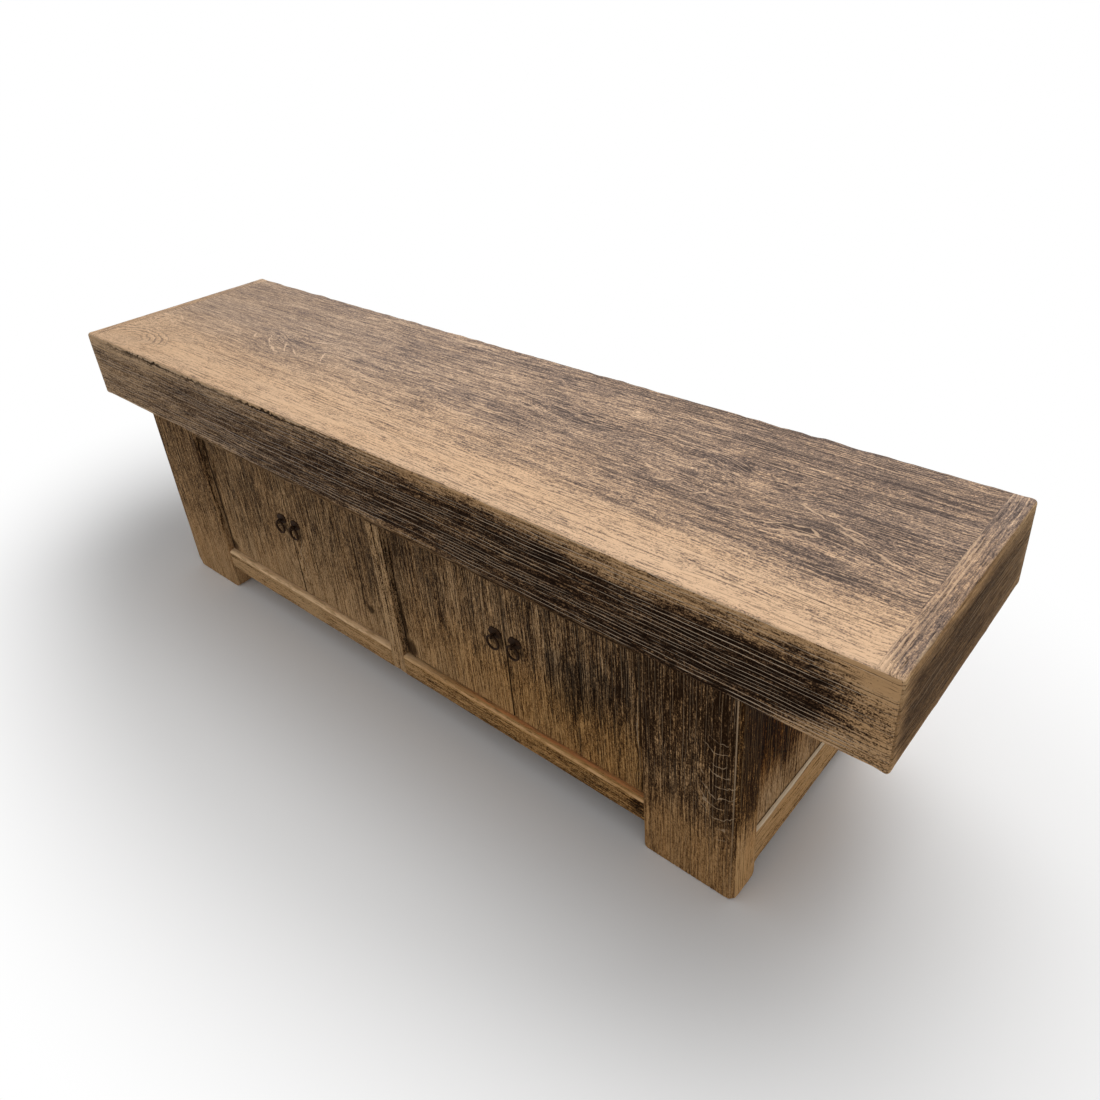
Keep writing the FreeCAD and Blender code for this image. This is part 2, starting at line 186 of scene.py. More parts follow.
def pick_edges(obj, wanted):
    """Opens a mesh and selects the edges whose two ends pass a test."""
    alone(obj)
    bpy.ops.object.mode_set(mode="EDIT")
    bpy.ops.mesh.select_mode(type="EDGE")
    bpy.ops.mesh.select_all(action="DESELECT")
    mesh = bmesh.from_edit_mesh(obj.data)
    for edge in mesh.edges:
        if wanted(edge.verts[0].co, edge.verts[1].co):
            edge.select_set(True)
    bmesh.update_edit_mesh(obj.data)


def any_edge(start, end):
    """Test that every edge passes."""
    return True


def soften(obj, width, steps, wanted=any_edge):
    """Rounds the picked edges."""
    pick_edges(obj, wanted)
    bpy.ops.mesh.bevel(offset=width, segments=steps, affect="EDGES")
    close_mesh()


def carve(obj, point, normal):
    """Saws a piece along a plane and keeps what lies behind it."""
    open_whole(obj)
    bpy.ops.mesh.bisect(plane_co=point, plane_no=normal, use_fill=True, clear_outer=True)
    close_mesh()


def cut_away(obj, cutter):
    """Cuts the shape of one piece out of another and drops the cutter."""
    cut = obj.modifiers.new("cut", "BOOLEAN")
    cut.operation = "DIFFERENCE"
    cut.solver = "EXACT"
    cut.object = cutter
    settle(obj, cut)
    bpy.data.objects.remove(cutter)


def edge_run(axis):
    """Measure of how far an edge runs along one axis, or zero where it leans."""
    def run(start, end):
        step = abs(end[axis] - start[axis])
        return step if step > straight_share * (end - start).length else 0.0
    return run


def cut_rows(obj, axis, pitch):
    """Cuts the long faces into rows of about one pitch along an axis."""
    run = edge_run(axis)

    def longest():
        points = obj.data.vertices
        return max(run(points[e.vertices[0]].co, points[e.vertices[1]].co) for e in obj.data.edges)

    rows = round(longest() / pitch)
    while rows > 1:
        step = rows if rows <= most_cuts else cut_step
        reach = longest() / 2
        pick_edges(obj, lambda start, end: run(start, end) > reach)
        bpy.ops.mesh.subdivide(number_cuts=step - 1)
        close_mesh()
        rows = round(rows / step)


def weigh(obj, name, weight):
    """Group of vertices, each with the weight that a rule gives its place."""
    group = obj.vertex_groups.new(name=name)
    for vertex in obj.data.vertices:
        share = weight(vertex.co)
        if share > 0:
            group.add([vertex.index], min(share, 1.0), "REPLACE")


def sink(obj, scale, depth, octaves, direction="NORMAL", group="", contrast=grain_contrast):
    """Sinks a surface by an uneven pattern of a given size on each axis."""
    texture = bpy.data.textures.new("unevenness", "CLOUDS")
    texture.noise_scale = 1.0
    texture.noise_depth = octaves
    texture.contrast = contrast
    bpy.ops.object.empty_add()
    ruler = bpy.context.object
    ruler.scale = scale
    bpy.context.view_layer.update()
    dents = obj.modifiers.new("unevenness", "DISPLACE")
    dents.texture = texture
    dents.texture_coords = "OBJECT"
    dents.texture_coords_object = ruler
    dents.direction = direction
    dents.mid_level = 1.0 if direction == "NORMAL" else 0.0
    dents.strength = depth
    dents.vertex_group = group
    settle(obj, dents)
    bpy.data.objects.remove(ruler)
    bpy.data.textures.remove(texture)


def relief(obj, along, streak, depth, octaves=2, group=""):
    """Sinks streaks into a surface, each about so long on the grain and so wide across it."""
    reach, width = streak
    sink(obj, [reach if axis == along else width for axis in (X, Y, Z)], depth, octaves, group=group)


def solid_copy(name, node):
    """Copy of a solid with its loose faces merged."""
    obj = bpy.data.objects.new(name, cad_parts[node].data.copy())
    obj.data.name = name
    obj.data.materials.clear()
    bpy.context.scene.collection.objects.link(obj)
    open_whole(obj)
    bpy.ops.mesh.remove_doubles(threshold=merge_distance)
    close_mesh()
    return obj


def skin(obj, voxel, smoothing):
    """Gives a piece an even skin of small faces and softened edges."""
    remesh = obj.modifiers.new("skin", "REMESH")
    remesh.mode = "VOXEL"
    remesh.voxel_size = voxel
    settle(obj, remesh)
    smooth = obj.modifiers.new("soften", "SMOOTH")
    smooth.factor = smoothing_share
    smooth.iterations = smoothing
    settle(obj, smooth)


def seat(obj, body, node, finish):
    """Gives a finished piece its finish and its body, and hides the solid that it stands for."""
    obj.data.materials.clear()
    obj.data.materials.append(finish)
    alone(obj)
    bpy.ops.object.shade_smooth_by_angle(angle=smooth_angle)
    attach(obj, body)
    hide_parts(node)


# Finishes

# Sockets of a Mix node that blends colours
mix_share, mix_first, mix_second, mix_result = 0, 6, 7, 2

# Rows of thin lines: turns per metre, reach of the turns in rows, and breaks per metre along a line
row_turns_along = 0.9
row_turns_across = 34.0
row_wander = 2.6
row_breaks = 5.0
row_break_softness = 0.1
row_number_step = 5.7
line_core = 0.4

# Fibres: turns per metre along and across, and how far they wander
fibre_turns = (2.6, 9.0)
fibre_wander = (0.0, 0.014, 0.014)
face_share = 0.1
half = (0.5, 0.5, 0.5)

# Spots of stain and painted shade, and figures, reach through a board's thickness
spot_depth = 0.1


def tone(red, green, blue):
    """Colour for a shader, from a tone on the usual scale of 0 to 255."""
    def channel(value):
        share = value / 255
        return share / 12.92 if share <= 0.04045 else ((share + 0.055) / 1.055) ** 2.4
    return (channel(red), channel(green), channel(blue), 1.0)


class Finish:
    """A material under construction. Most methods add nodes and return an output."""

    def __init__(self, name):
        self.material = bpy.data.materials.new(name)
        self.material.use_nodes = True
        self.tree = self.material.node_tree
        self.shader = self.tree.nodes["Principled BSDF"]
        self.place = self.add("ShaderNodeTexCoord").outputs["Object"]
        self.x, self.y, self.z = self.split(self.place)

    def plug(self, socket, value):
        """Links an output to a socket, or sets a plain value on it."""
        if isinstance(value, bpy.types.NodeSocket):
            self.tree.links.new(value, socket)
        else:
            socket.default_value = value

    def add(self, kind, *values, **settings):
        """Adds a node with its own settings and values for its first sockets."""
        node = self.tree.nodes.new(kind)
        for key, setting in settings.items():
            setattr(node, key, setting)
        for socket, value in zip(node.inputs, values):
            self.plug(socket, value)
        return node

    def calc(self, operation, first, second=0.0):
        """One step of arithmetic."""
        return self.add("ShaderNodeMath", first, second, operation=operation).outputs[0]

    def plus(self, *values):
        """Sum of some values."""
        total = values[0]
        for value in values[1:]:
            total = self.calc("ADD", total, value)
        return total

    def times(self, *values):
        """Product of some values."""
        product = values[0]
        for value in values[1:]:
            product = self.calc("MULTIPLY", product, value)
        return product

    def rest(self, share):
        """What a share leaves of one."""
        return self.calc("SUBTRACT", 1.0, share)

    def absolute(self, value):
        """A value without its sign."""
        return self.calc("ABSOLUTE", value)

    def vector(self, operation, first, second):
        """One step of arithmetic on places."""
        return self.add("ShaderNodeVectorMath", first, second, operation=operation).outputs[0]

    def split(self, place):
        """The three coordinates of a place."""
        return self.add("ShaderNodeSeparateXYZ", place).outputs

    def join(self, x, y, z=0.0):
        """Place with these coordinates."""
        return self.add("ShaderNodeCombineXYZ", x, y, z).outputs[0]

    def spread(self, value, low, high, at_low=0.0, at_high=1.0, kind="SMOOTHSTEP"):
        """Value that goes from one level to another while a place goes from low to high."""
        node = self.add("ShaderNodeMapRange", value, low, high, at_low, at_high, interpolation_type=kind)
        return node.outputs[0]

    def ramp(self, value, stops):
        """Colour that follows stops of (position, colour)."""
        node = self.add("ShaderNodeValToRGB", value)
        points = node.color_ramp.elements
        while len(points) < len(stops):
            points.new(1.0)
        for point, (position, colour) in zip(points, stops):
            point.position = position
            point.color = colour
        return node.outputs[0]

    def profile(self, value, low, high, stops):
        """Value that follows stops of (share of the way from low to high, level)."""
        share = self.spread(value, low, high, kind="LINEAR")
        lifted = [(position, (level + 1, level + 1, level + 1, 1.0)) for position, level in stops]
        return self.plus(self.ramp(share, lifted), -1.0)

    def blend(self, share, first, second, kind="MIX"):
        """Second colour over the first one, by a share."""
        node = self.add("ShaderNodeMix", data_type="RGBA", clamp_factor=True, blend_type=kind)
        self.plug(node.inputs[mix_share], share)
        self.plug(node.inputs[mix_first], first)
        self.plug(node.inputs[mix_second], second)
        return node.outputs[mix_result]

    def noise(self, vector, octaves=2.0, roughness=0.55):
        """Node with an uneven value and an uneven colour."""
        node = self.add("ShaderNodeTexNoise", vector)
        node.inputs["Scale"].default_value = 1.0
        node.inputs["Detail"].default_value = octaves
        node.inputs["Roughness"].default_value = roughness
        return node

    def speckle(self, pitch, octaves=2.0, roughness=0.55):
        """Unevenness with so many features per metre on each axis."""
        return self.noise(self.vector("MULTIPLY", self.place, pitch), octaves, roughness).outputs[0]

    def uneven(self, place, pattern, reach):
        """A place that a pattern pushes to and fro."""
        return self.plus(place, self.times(pattern, reach))

    def stretch(self, grain, along, across):
        """Grain coordinates with so many features per metre along the grain and across it."""
        return self.vector("MULTIPLY", grain, (along, across, across))

    def streaks(self, grain, along, across, octaves=2.0, roughness=0.55):
        """Streaks of the grain as a value that swings about zero."""
        return self.plus(self.noise(self.stretch(grain, along, across), octaves, roughness).outputs[0], -0.5)

    def rows(self, grain, pitch, width, gone):
        """Thin lines that follow the grain, unevenly spaced, each broken off here and there."""
        along, first, second = self.split(grain)
        across = self.plus(first, second)
        sway = self.join(self.times(along, row_turns_along), self.times(across, row_turns_across))
        count = self.plus(self.times(across, pitch), self.times(self.noise(sway).outputs[0], row_wander))
        swing = self.absolute(self.plus(self.calc("FRACT", count), -0.5))
        run = self.join(self.times(along, row_breaks), self.times(self.calc("FLOOR", count), row_number_step))
        seen = self.spread(self.noise(run, 3.0, 0.7).outputs[0], gone, gone + row_break_softness)
        return self.times(self.spread(swing, width, width * line_core), seen)

    def shaky(self, turns, reach):
        """Places that wander by up to about one reach, with so many turns per metre."""
        wander = self.noise(self.vector("MULTIPLY", self.place, (turns, turns, turns))).outputs[1]
        off = self.vector("SUBTRACT", wander, half)
        return self.vector("ADD", self.place, self.vector("MULTIPLY", off, (reach, reach, reach)))

    def stripe(self, value, middle, width):
        """One where a value is at the middle, and zero from one width away."""
        return self.spread(self.absolute(self.plus(value, -middle)), width, width * line_core)

    def distance(self, centre, radii, turn=(0, 0, 0), place=None):
        """Distance from a centre, where one is the edge of a spot with these radii."""
        near = self.add("ShaderNodeMapping", place or self.place, centre, turn, radii, vector_type="TEXTURE")
        return self.add("ShaderNodeVectorMath", near.outputs[0], operation="LENGTH").outputs["Value"]

    def patch(self, centre, radii, level):
        """Soft spot that reaches its level at the centre and fades out at the radii."""
        return self.spread(self.distance(centre, radii), 0.0, 1.0, level, 0.0)

    def scratch(self, start, end, width, place):
        """Thin stroke between two points of the top."""
        run = Vector(end) - Vector(start)
        middle = (Vector(start) + Vector(end)) / 2
        centre = (middle.x, middle.y, slab_high.z)
        radii = (run.length / 2 + width, width, spot_depth)
        turn = (0, 0, math.atan2(run.y, run.x))
        return self.spread(self.distance(centre, radii, turn, place), 1.0, 0.55)

    def grain(self, along, figures=(), face=None):
        """Coordinates with the grain on the first axis. Each figure pushes the fibres aside round a spot.

        The axis that a wide face looks along counts little, so that dents in it don't break the streaks.
        """
        places = [self.x, self.y, self.z]
        if face is not None:
            places[face] = self.times(places[face], face_share)
        order = [along] + [axis for axis in (X, Y, Z) if axis != along]
        grain = self.join(*[places[axis] for axis in order])
        wander = self.vector("SUBTRACT", self.noise(self.stretch(grain, *fibre_turns), 3.0).outputs[1], half)
        grain = self.vector("ADD", grain, self.vector("MULTIPLY", wander, fibre_wander))
        for centre, radii, push in figures:
            bulge = self.patch(centre, radii, push)
            grain = self.vector("ADD", grain, self.join(0.0, bulge, bulge))
        return grain

    def ridge(self):
        """Value over a half on outer edges and under a half in hollows."""
        return self.add("ShaderNodeNewGeometry").outputs["Pointiness"]

    def surface(self, colour, roughness, height, strength, distance):
        """Plugs the colour, the roughness and a fine relief into the shader."""
        self.plug(self.shader.inputs["Base Color"], colour)
        self.plug(self.shader.inputs["Roughness"], roughness)
        bump = self.add("ShaderNodeBump")
        bump.inputs["Strength"].default_value = strength
        bump.inputs["Distance"].default_value = distance
        self.plug(bump.inputs["Height"], height)
        self.plug(self.shader.inputs["Normal"], bump.outputs[0])


# Layers of old elm: features per metre along and across the grain, octaves, roughness
grain_layers = {
    "bands": (1.3, 34.0, 2.0, 0.55),
    "fibres": (5.0, 340.0, 4.0, 0.72),
    "strokes": (24.0, 320.0, 3.0, 0.7),
    "specks": (150.0, 480.0, 2.0, 0.65),
    "clouds": (7.0, 22.0, 4.0, 0.6),
}
grit_layer = (400.0, 400.0, 2.0, 0.65)
hue_layer = (5.0, 30.0, 3.0)
pore_layer = (42.0, 560.0, 1.0)

# Share of each layer in the tone of the wood, and in its fine relief
tone_shares = {"bands": 0.35, "fibres": 1.1, "strokes": 1.1, "specks": 0.9, "clouds": 0.35}
relief_shares = {"fibres": 1.0, "strokes": 1.0, "specks": 0.6, "lines": 0.35, "pores": -0.4, "furrows": -0.6}

# Where each tone of a board stands between dark and pale
tone_stops = {"deep": 0.08, "dark": 0.3, "mid": 0.5, "tan": 0.7, "worn": 0.92}

# Dark furrows between the pale lines
furrow_shift = (3.7, 1.3, 2.1)
furrow_pitch_share = 0.8
furrow_width = 0.13
furrow_gone = 0.48
furrow_share = 0.6
pore_share = 0.5

# Tints that colours are multiplied by
honey_tint = (1.06, 0.97, 0.84, 1.0)
red_tint = (1.0, 0.88, 0.66, 1.0)
dark_red_tint = (0.94, 0.72, 0.4, 1.0)
grey_left_tint = (1.03, 1.13, 1.33, 1.0)
grey_end_tint = (1.0, 1.06, 1.15, 1.0)
grey_back_tint = (1.0, 1.07, 1.18, 1.0)
sooty_tint = (0.55, 0.57, 0.62, 1.0)


def setting(f, value):
    """Number for a finish, or what a rule makes of the place."""
    return value(f) if callable(value) else value


def shared(f, layers, shares):
    """Sum of layers, each by its share."""
    return f.plus(*[f.times(layers[name], share) for name, share in shares.items()])


def board_tone(f, level, tones):
    """Colour of a board, from its deep tone to its worn one."""
    return f.ramp(level, [(stop, tones[name]) for name, stop in tone_stops.items()])


def on_top(f, under=0.0, over=1.0):
    """One level under the upper face of the slab and another on it."""
    return f.spread(f.z, slab_high.z - 0.006, slab_high.z - 0.002, under, over)


def warm(f, colour, share, tint=red_tint):
    """Redder wood where the share is one."""
    return f.blend(share, colour, tint, "MULTIPLY")


def rub_edges(f, colour, strokes, tones, edge_share):
    """Outer edges rubbed pale, and the hollows darkened."""
    ridge = f.ridge()
    rubbed = f.times(f.spread(ridge, 0.52, 0.58), f.plus(f.times(strokes, 2.0), 0.8), edge_share)
    colour = f.blend(rubbed, colour, tones["worn"])
    return f.blend(f.spread(ridge, 0.49, 0.44, 0.0, 0.6), colour, tones["deep"])


def elm(name, along, tones, darkness, figures=(), contrast=1.0, line_share=0.5, line_pitch=130.0,
        line_width=0.08, gone=0.46, edge_share=0.0, upper_tones=None, marks=None, face=None, grit_share=0.3,
        tint=0.4):
    """Old elm: tones from deep to worn along the grain, pale and dark lines, pores, rubbed edges."""
    f = Finish(name)
    grain = f.grain(along, figures, face)
    layers = {layer: f.streaks(grain, *values) for layer, values in grain_layers.items()}
    clouds = layers["clouds"]
    grit = f.times(f.streaks(f.place, *grit_layer), grit_share)
    swing = f.plus(shared(f, layers, tone_shares), grit)
    # The darkness rule holds stains, and for the rails also painted shade and painted highlight
    level = f.plus(f.times(swing, setting(f, contrast)), f.rest(darkness(f, clouds)))
    colour = board_tone(f, level, tones)
    if upper_tones:
        colour = f.blend(on_top(f), colour, board_tone(f, level, upper_tones))

    hue = f.spread(f.streaks(grain, *hue_layer), -0.14, 0.14)
    colour = f.blend(f.times(hue, tint), colour, honey_tint, "MULTIPLY")

    furrow_grain = f.vector("ADD", grain, furrow_shift)
    layers["furrows"] = f.rows(furrow_grain, line_pitch * furrow_pitch_share, furrow_width, furrow_gone)
    colour = f.blend(f.times(layers["furrows"], furrow_share), colour, tones["deep"])
    layers["lines"] = f.rows(grain, line_pitch, line_width, gone)
    colour = f.blend(f.times(layers["lines"], setting(f, line_share)), colour, tones["line"])
    layers["pores"] = f.spread(f.streaks(grain, *pore_layer), 0.1, 0.2)
    colour = f.blend(f.times(layers["pores"], pore_share), colour, tones["deep"])
    if marks:
        colour = marks(f, clouds, colour, tones)
    if edge_share:
        colour = rub_edges(f, colour, layers["strokes"], tones, edge_share)

    roughness = f.spread(level, 0.0, 1.0, 0.6, 0.8, kind="LINEAR")
    f.surface(colour, roughness, shared(f, layers, relief_shares), strength=0.5, distance=0.0012)
    f.shader.inputs["Specular IOR Level"].default_value = 0.01
    return f.material


TOP_TONES = {
    "deep": tone(84, 72, 66),
    "dark": tone(116, 100, 91),
    "mid": tone(150, 126, 108),
    "tan": tone(187, 156, 128),
    "worn": tone(224, 189, 155),
    "line": tone(206, 174, 144),
}
EDGE_TONES = {
    "deep": tone(30, 18, 10),
    "dark": tone(66, 48, 35),
    "mid": tone(110, 85, 62),
    "tan": tone(154, 122, 88),
    "worn": tone(196, 158, 116),
    "line": tone(214, 192, 166),
}
DOOR_TONES = {
    "deep": tone(38, 24, 13),
    "dark": tone(92, 70, 48),
    "mid": tone(130, 101, 71),
    "tan": tone(160, 127, 90),
    "worn": tone(192, 158, 118),
    "line": tone(196, 172, 142),
}
PANEL_TONES = dict(DOOR_TONES, deep=tone(26, 14, 5), dark=tone(70, 45, 24))
LEG_TONES = {
    "deep": tone(38, 23, 11),
    "dark": tone(74, 54, 36),
    "mid": tone(118, 91, 63),
    "tan": tone(172, 136, 96),
    "worn": tone(198, 162, 120),
    "line": tone(184, 158, 128),
}
INNER_TONES = {
    "deep": tone(92, 68, 46),
    "dark": tone(122, 94, 65),
    "mid": tone(144, 113, 80),
    "tan": tone(164, 130, 93),
    "worn": tone(184, 149, 110),
    "line": tone(186, 154, 118),
}
# Painted highlights of the front rail bead and crest, and the orange at the back of the ledge painted bright
# against its shade
BEAD_HIGHLIGHT_TONE = tone(250, 212, 166)
CREST_HIGHLIGHT_TONE = tone(232, 186, 134)
LEDGE_LIT_ORANGE_TONE = tone(240, 160, 102)
# Painted highlight of the side rail beads
SIDE_BEAD_HIGHLIGHT_TONE = tone(255, 236, 206)
IRON_DARK_TONE = tone(32, 20, 12)
IRON_TONE = tone(54, 36, 23)
IRON_RUST_TONE = tone(84, 54, 34)
IRON_HIGHLIGHT_TONE = tone(112, 86, 62)


# Finish of the top board

# Dark and pale spots: place along and across the top, half length, half width, level
top_spots = (
    (0.85, -0.095, 0.11, 0.04, 0.26),
    (0.64, 0.05, 0.06, 0.06, -0.16),
    (0.28, 0.06, 0.15, 0.03, 0.16),
    (-0.29, 0.02, 0.05, 0.025, 0.24),
    (-0.24, 0.11, 0.08, 0.06, 0.14),
    (0.16, -0.005, 0.08, 0.035, 0.14),
    (0.22, -0.1, 0.1, 0.04, 0.14),
    (0.07, -0.06, 0.12, 0.06, -0.12),
    (0.6, 0.17, 0.2, 0.03, 0.1),
    (0.66, -0.07, 0.1, 0.03, 0.12),
    (0.35, 0.14, 0.1, 0.03, -0.1),
    (0.1, 0.17, 0.4, 0.06, 0.07),
    (0.955, -0.212, 0.07, 0.035, -0.12),
    (-0.5, -0.02, 0.22, 0.08, 0.1),
)

# Figures that push the fibres aside: centre, radii, reach
top_figures = (
    ((-1.0, -0.16, slab_high.z), (0.26, 0.12, spot_depth), 0.05),
    ((-0.5, -0.02, slab_high.z), (0.14, 0.07, spot_depth), 0.014),
    ((0.64, 0.04, slab_high.z), (0.14, 0.08, spot_depth), 0.014),
    ((0.28, 0.05, slab_high.z), (0.2, 0.06, spot_depth), 0.012),
    ((0.78, -0.03, slab_high.z), (0.18, 0.06, spot_depth), -0.012),
)

# Curled figure, as runs of points
top_curls = (
    ((-0.64, -0.012), (-0.62, -0.03)),
    ((-0.59, -0.006), (-0.55, -0.038), (-0.49, -0.055)),
    ((-0.52, -0.01), (-0.5, -0.028), (-0.48, -0.046)),
    ((-0.48, -0.02), (-0.44, -0.042)),
    ((-0.47, 0.03), (-0.42, 0.045)),
    ((-0.4, 0.002), (-0.36, -0.036)),
    ((-0.98, -0.068), (-0.92, -0.045), (-0.87, -0.062)),
    ((-0.97, -0.09), (-0.91, -0.075), (-0.87, -0.088)),
    ((-0.92, -0.14), (-0.86, -0.15), (-0.8, -0.175)),
    ((-0.9, -0.125), (-0.83, -0.135), (-0.75, -0.165)),
    ((0.45, 0.003), (0.53, -0.014), (0.527, -0.022), (0.5, -0.03)),
    ((0.588, -0.01), (0.595, -0.022), (0.578, -0.036)),
    ((0.7, -0.045), (0.74, -0.028), (0.77, -0.02), (0.795, -0.034), (0.74, -0.044), (0.715, -0.06)),
    ((0.62, -0.044), (0.66, -0.034), (0.69, -0.034)),
    ((0.8, 0.0), (0.86, -0.02), (0.93, -0.046)),
    ((0.72, 0.035), (0.78, 0.012), (0.86, 0.0)),
)
curl_width = 0.0027

# Swirl of dark lines at the left end
swirl_middle = (-0.87, -0.19, slab_high.z)
swirl_radii = (0.13, 0.065, spot_depth)
swirl_rings = 6.0


def top_stain(f, clouds):
    """Grey and dark towards the back and the right, rubbed pale along the front edge."""
    ragged = f.plus(f.uneven(f.y, clouds, 0.1), f.spread(f.x, 0.3, 0.9, 0.0, 0.03))
    depth = f.profile(ragged, slab_low.y, slab_high.y, (
        (0.0, 0.08), (0.16, 0.08), (0.25, 0.25), (0.37, 0.37), (0.5, 0.43), (0.7, 0.46), (0.95, 0.5)))
    length = f.profile(f.x, slab_low.x, slab_high.x, (
        (0.0, -0.1), (0.3, -0.06), (0.5, 0.0), (0.65, 0.07), (0.8, 0.18), (1.0, 0.18)))
    back = f.spread(f.y, -0.17, -0.09)
    spots = [f.patch((x, y, slab_high.z), (long, wide, spot_depth), level)
             for x, y, long, wide, level in top_spots]
    return f.plus(depth, f.times(length, back), *spots)


def top_contrast(f):
    """Smoother at the left."""
    return f.spread(f.x, -1.0, 0.3, 0.9, 1.6)


def top_lines(f):
    """Pale lines, strongest at the right and behind the rubbed front edge."""
    return f.times(f.spread(f.x, -0.8, 0.4, 0.4, 0.9), f.spread(f.y, -0.2, -0.1, 0.3, 1.0))


def top_marks(f, clouds, colour, tones):
    """Pale strokes of the curled figure, a swirl of dark lines at the left end, and a greyer back."""
    shaky = f.shaky(45.0, 0.016)
    share = f.spread(f.x, -0.2, 0.5, 0.9, 0.6)
    for run in top_curls:
        for start, end in zip(run, run[1:]):
            stroke = f.scratch(start, end, curl_width, shaky)
            colour = f.blend(f.times(stroke, share), colour, tones["worn"])
    rings = f.distance(swirl_middle, swirl_radii, place=shaky)
    swirl = f.stripe(f.calc("FRACT", f.times(rings, swirl_rings)), 0.5, 0.2)
    swirl = f.times(swirl, f.spread(rings, 1.0, 0.85), f.spread(f.y, -0.2, -0.17))
    colour = f.blend(f.times(swirl, 0.6), colour, tones["dark"])
    grey = f.times(f.spread(f.x, 0.7, -0.6, 0.3, 1.0), f.spread(f.y, -0.17, 0.05))
    return f.blend(grey, colour, grey_back_tint, "MULTIPLY")


# Finish of the front and back boards of the top

edge_jag_pitch = (75.0, 75.0, 75.0)
# Painted shadow under the worn upper rim: how far under the top, and its half width
rim_shadow_depth = 0.0105
rim_shadow_width = 0.0042


def edge_jags(f):
    """Jagged pattern of the wear along the rims, as a value that swings about zero."""
    return f.plus(f.speckle(edge_jag_pitch, 3.0, 0.6), -0.5)


def bitten_height(f, clouds, jags):
    """Height on the long faces, uneven as along a bitten edge."""
    return f.uneven(f.uneven(f.z, jags, 0.022), clouds, 0.012)


def edge_stain(f, clouds):
    """Nearly black on the long faces, paler at the left and at the right end, rubbed along both rims."""
    slant = f.plus(f.x, f.spread(f.z, slab_low.z, slab_low.z + 0.06, 0.1, 0.0))
    length = f.profile(slant, slab_low.x, slab_high.x, (
        (0.0, 0.2), (0.03, 0.33), (0.2, 0.49), (0.38, 0.64), (0.52, 0.72), (0.75, 0.87), (0.95, 0.93),
        (0.975, 0.48), (0.993, 0.2)))
    jags = edge_jags(f)
    ragged = f.uneven(f.uneven(f.z, clouds, 0.05), jags, 0.03)
    ragged = f.plus(ragged, f.spread(f.x, 0.0, 0.7, 0.0, 0.014))
    lower_rim = f.profile(ragged, slab_low.z, slab_high.z, (
        (0.0, -0.4), (0.05, -0.26), (0.1, -0.06), (0.16, 0.0)))
    upper_rim = f.profile(ragged, slab_low.z, slab_high.z, (
        (0.72, 0.0), (0.83, -0.19), (0.91, -0.52), (1.0, -0.7)))
    left_rim = f.profile(bitten_height(f, clouds, jags), slab_high.z - 0.045, slab_high.z, (
        (0.0, 0.0), (0.4, -0.2), (0.78, -0.24), (0.84, -0.6), (1.0, -0.6)))
    left = f.spread(f.x, 0.3, -0.4)
    return f.plus(length, lower_rim, f.times(left_rim, left), f.times(upper_rim, f.rest(left)))


def edge_contrast(f):
    """Dark dashes on the tan right end, and a smoother left half."""
    return f.plus(f.spread(f.x, 0.9, 0.97, 0.0, 0.5), f.spread(f.x, -0.6, 0.1, 1.05, 1.4))


def edge_lines(f):
    """The pale lines of the long faces show best on the dark right half."""
    return f.times(f.spread(f.x, -0.9, 0.2, 0.55, 0.95), f.spread(f.x, 0.93, 0.98, 1.0, 0.35))


def edge_marks(f, clouds, colour, tones):
    """Painted shadow as a dark jagged line under the worn upper arris of the left half, and a greyer left
    end.
    """
    rim_shadow = f.stripe(bitten_height(f, clouds, edge_jags(f)), slab_high.z - rim_shadow_depth, rim_shadow_width)
    left = f.times(f.spread(f.x, 0.3, -0.2), f.spread(f.x, -0.98, -0.85))
    share = f.times(rim_shadow, left, f.spread(clouds, -0.12, 0.1, 0.9, 0.5))
    colour = f.blend(share, colour, tones["deep"])
    return f.blend(f.spread(f.x, 0.3, -0.5), colour, grey_left_tint, "MULTIPLY")


# Finish of the end boards of the top

end_score_insets = (0.003, 0.009, 0.015)
end_score_width = 0.0014


def end_stain(f, clouds):
    """Dark end faces, rubbed tan along their edges, with a pale band on top at the left."""
    height = f.profile(f.uneven(f.z, clouds, 0.04), slab_low.z, slab_high.z, (
        (0.0, 0.34), (0.08, 0.54), (0.25, 0.72), (0.7, 0.74), (0.84, 0.56), (0.93, 0.3), (0.98, 0.48)))
    off = f.uneven(f.absolute(f.y), clouds, 0.06)
    corner = f.times(f.spread(off, slab_high.y - 0.04, slab_high.y - 0.006, 0.0, -0.3),
                     f.spread(f.y, 0.0, 0.2, 1.0, 0.4))
    left = f.times(f.spread(f.x, 0.0, -0.1, 0.0, -0.18), on_top(f))
    back = f.times(f.spread(f.y, 0.0, slab_high.y, 0.0, -0.14), on_top(f, 1.0, -0.5))
    return f.plus(height, corner, left, back)


def end_contrast(f):
    """Smooth end faces under a rougher band on top."""
    return on_top(f, 0.6, 1.1)


def end_marks(f, clouds, colour, tones):
    """Pale scored lines beside the seam of the right band, and a greyer back."""
    wavy = f.uneven(f.x, clouds, 0.014)
    for inset in end_score_insets:
        line = f.times(f.stripe(wavy, end_inner + inset, end_score_width), on_top(f))
        colour = f.blend(f.times(line, f.spread(clouds, -0.1, 0.1, 0.1, 0.7)), colour, TOP_TONES["line"])
    return f.blend(f.spread(f.y, 0.0, slab_high.y), colour, grey_end_tint, "MULTIPLY")


# Finish of the legs

web_middle = Vector((leg_outer - 0.041, leg_front, 0.225))
web_radii = (0.04, spot_depth, 0.13)
web_pitch = 44.0
web_sag = 24.0
web_width = 0.062
web_share = 0.62
leg_step = leg_outer - 0.012
leg_step_width = 0.0014


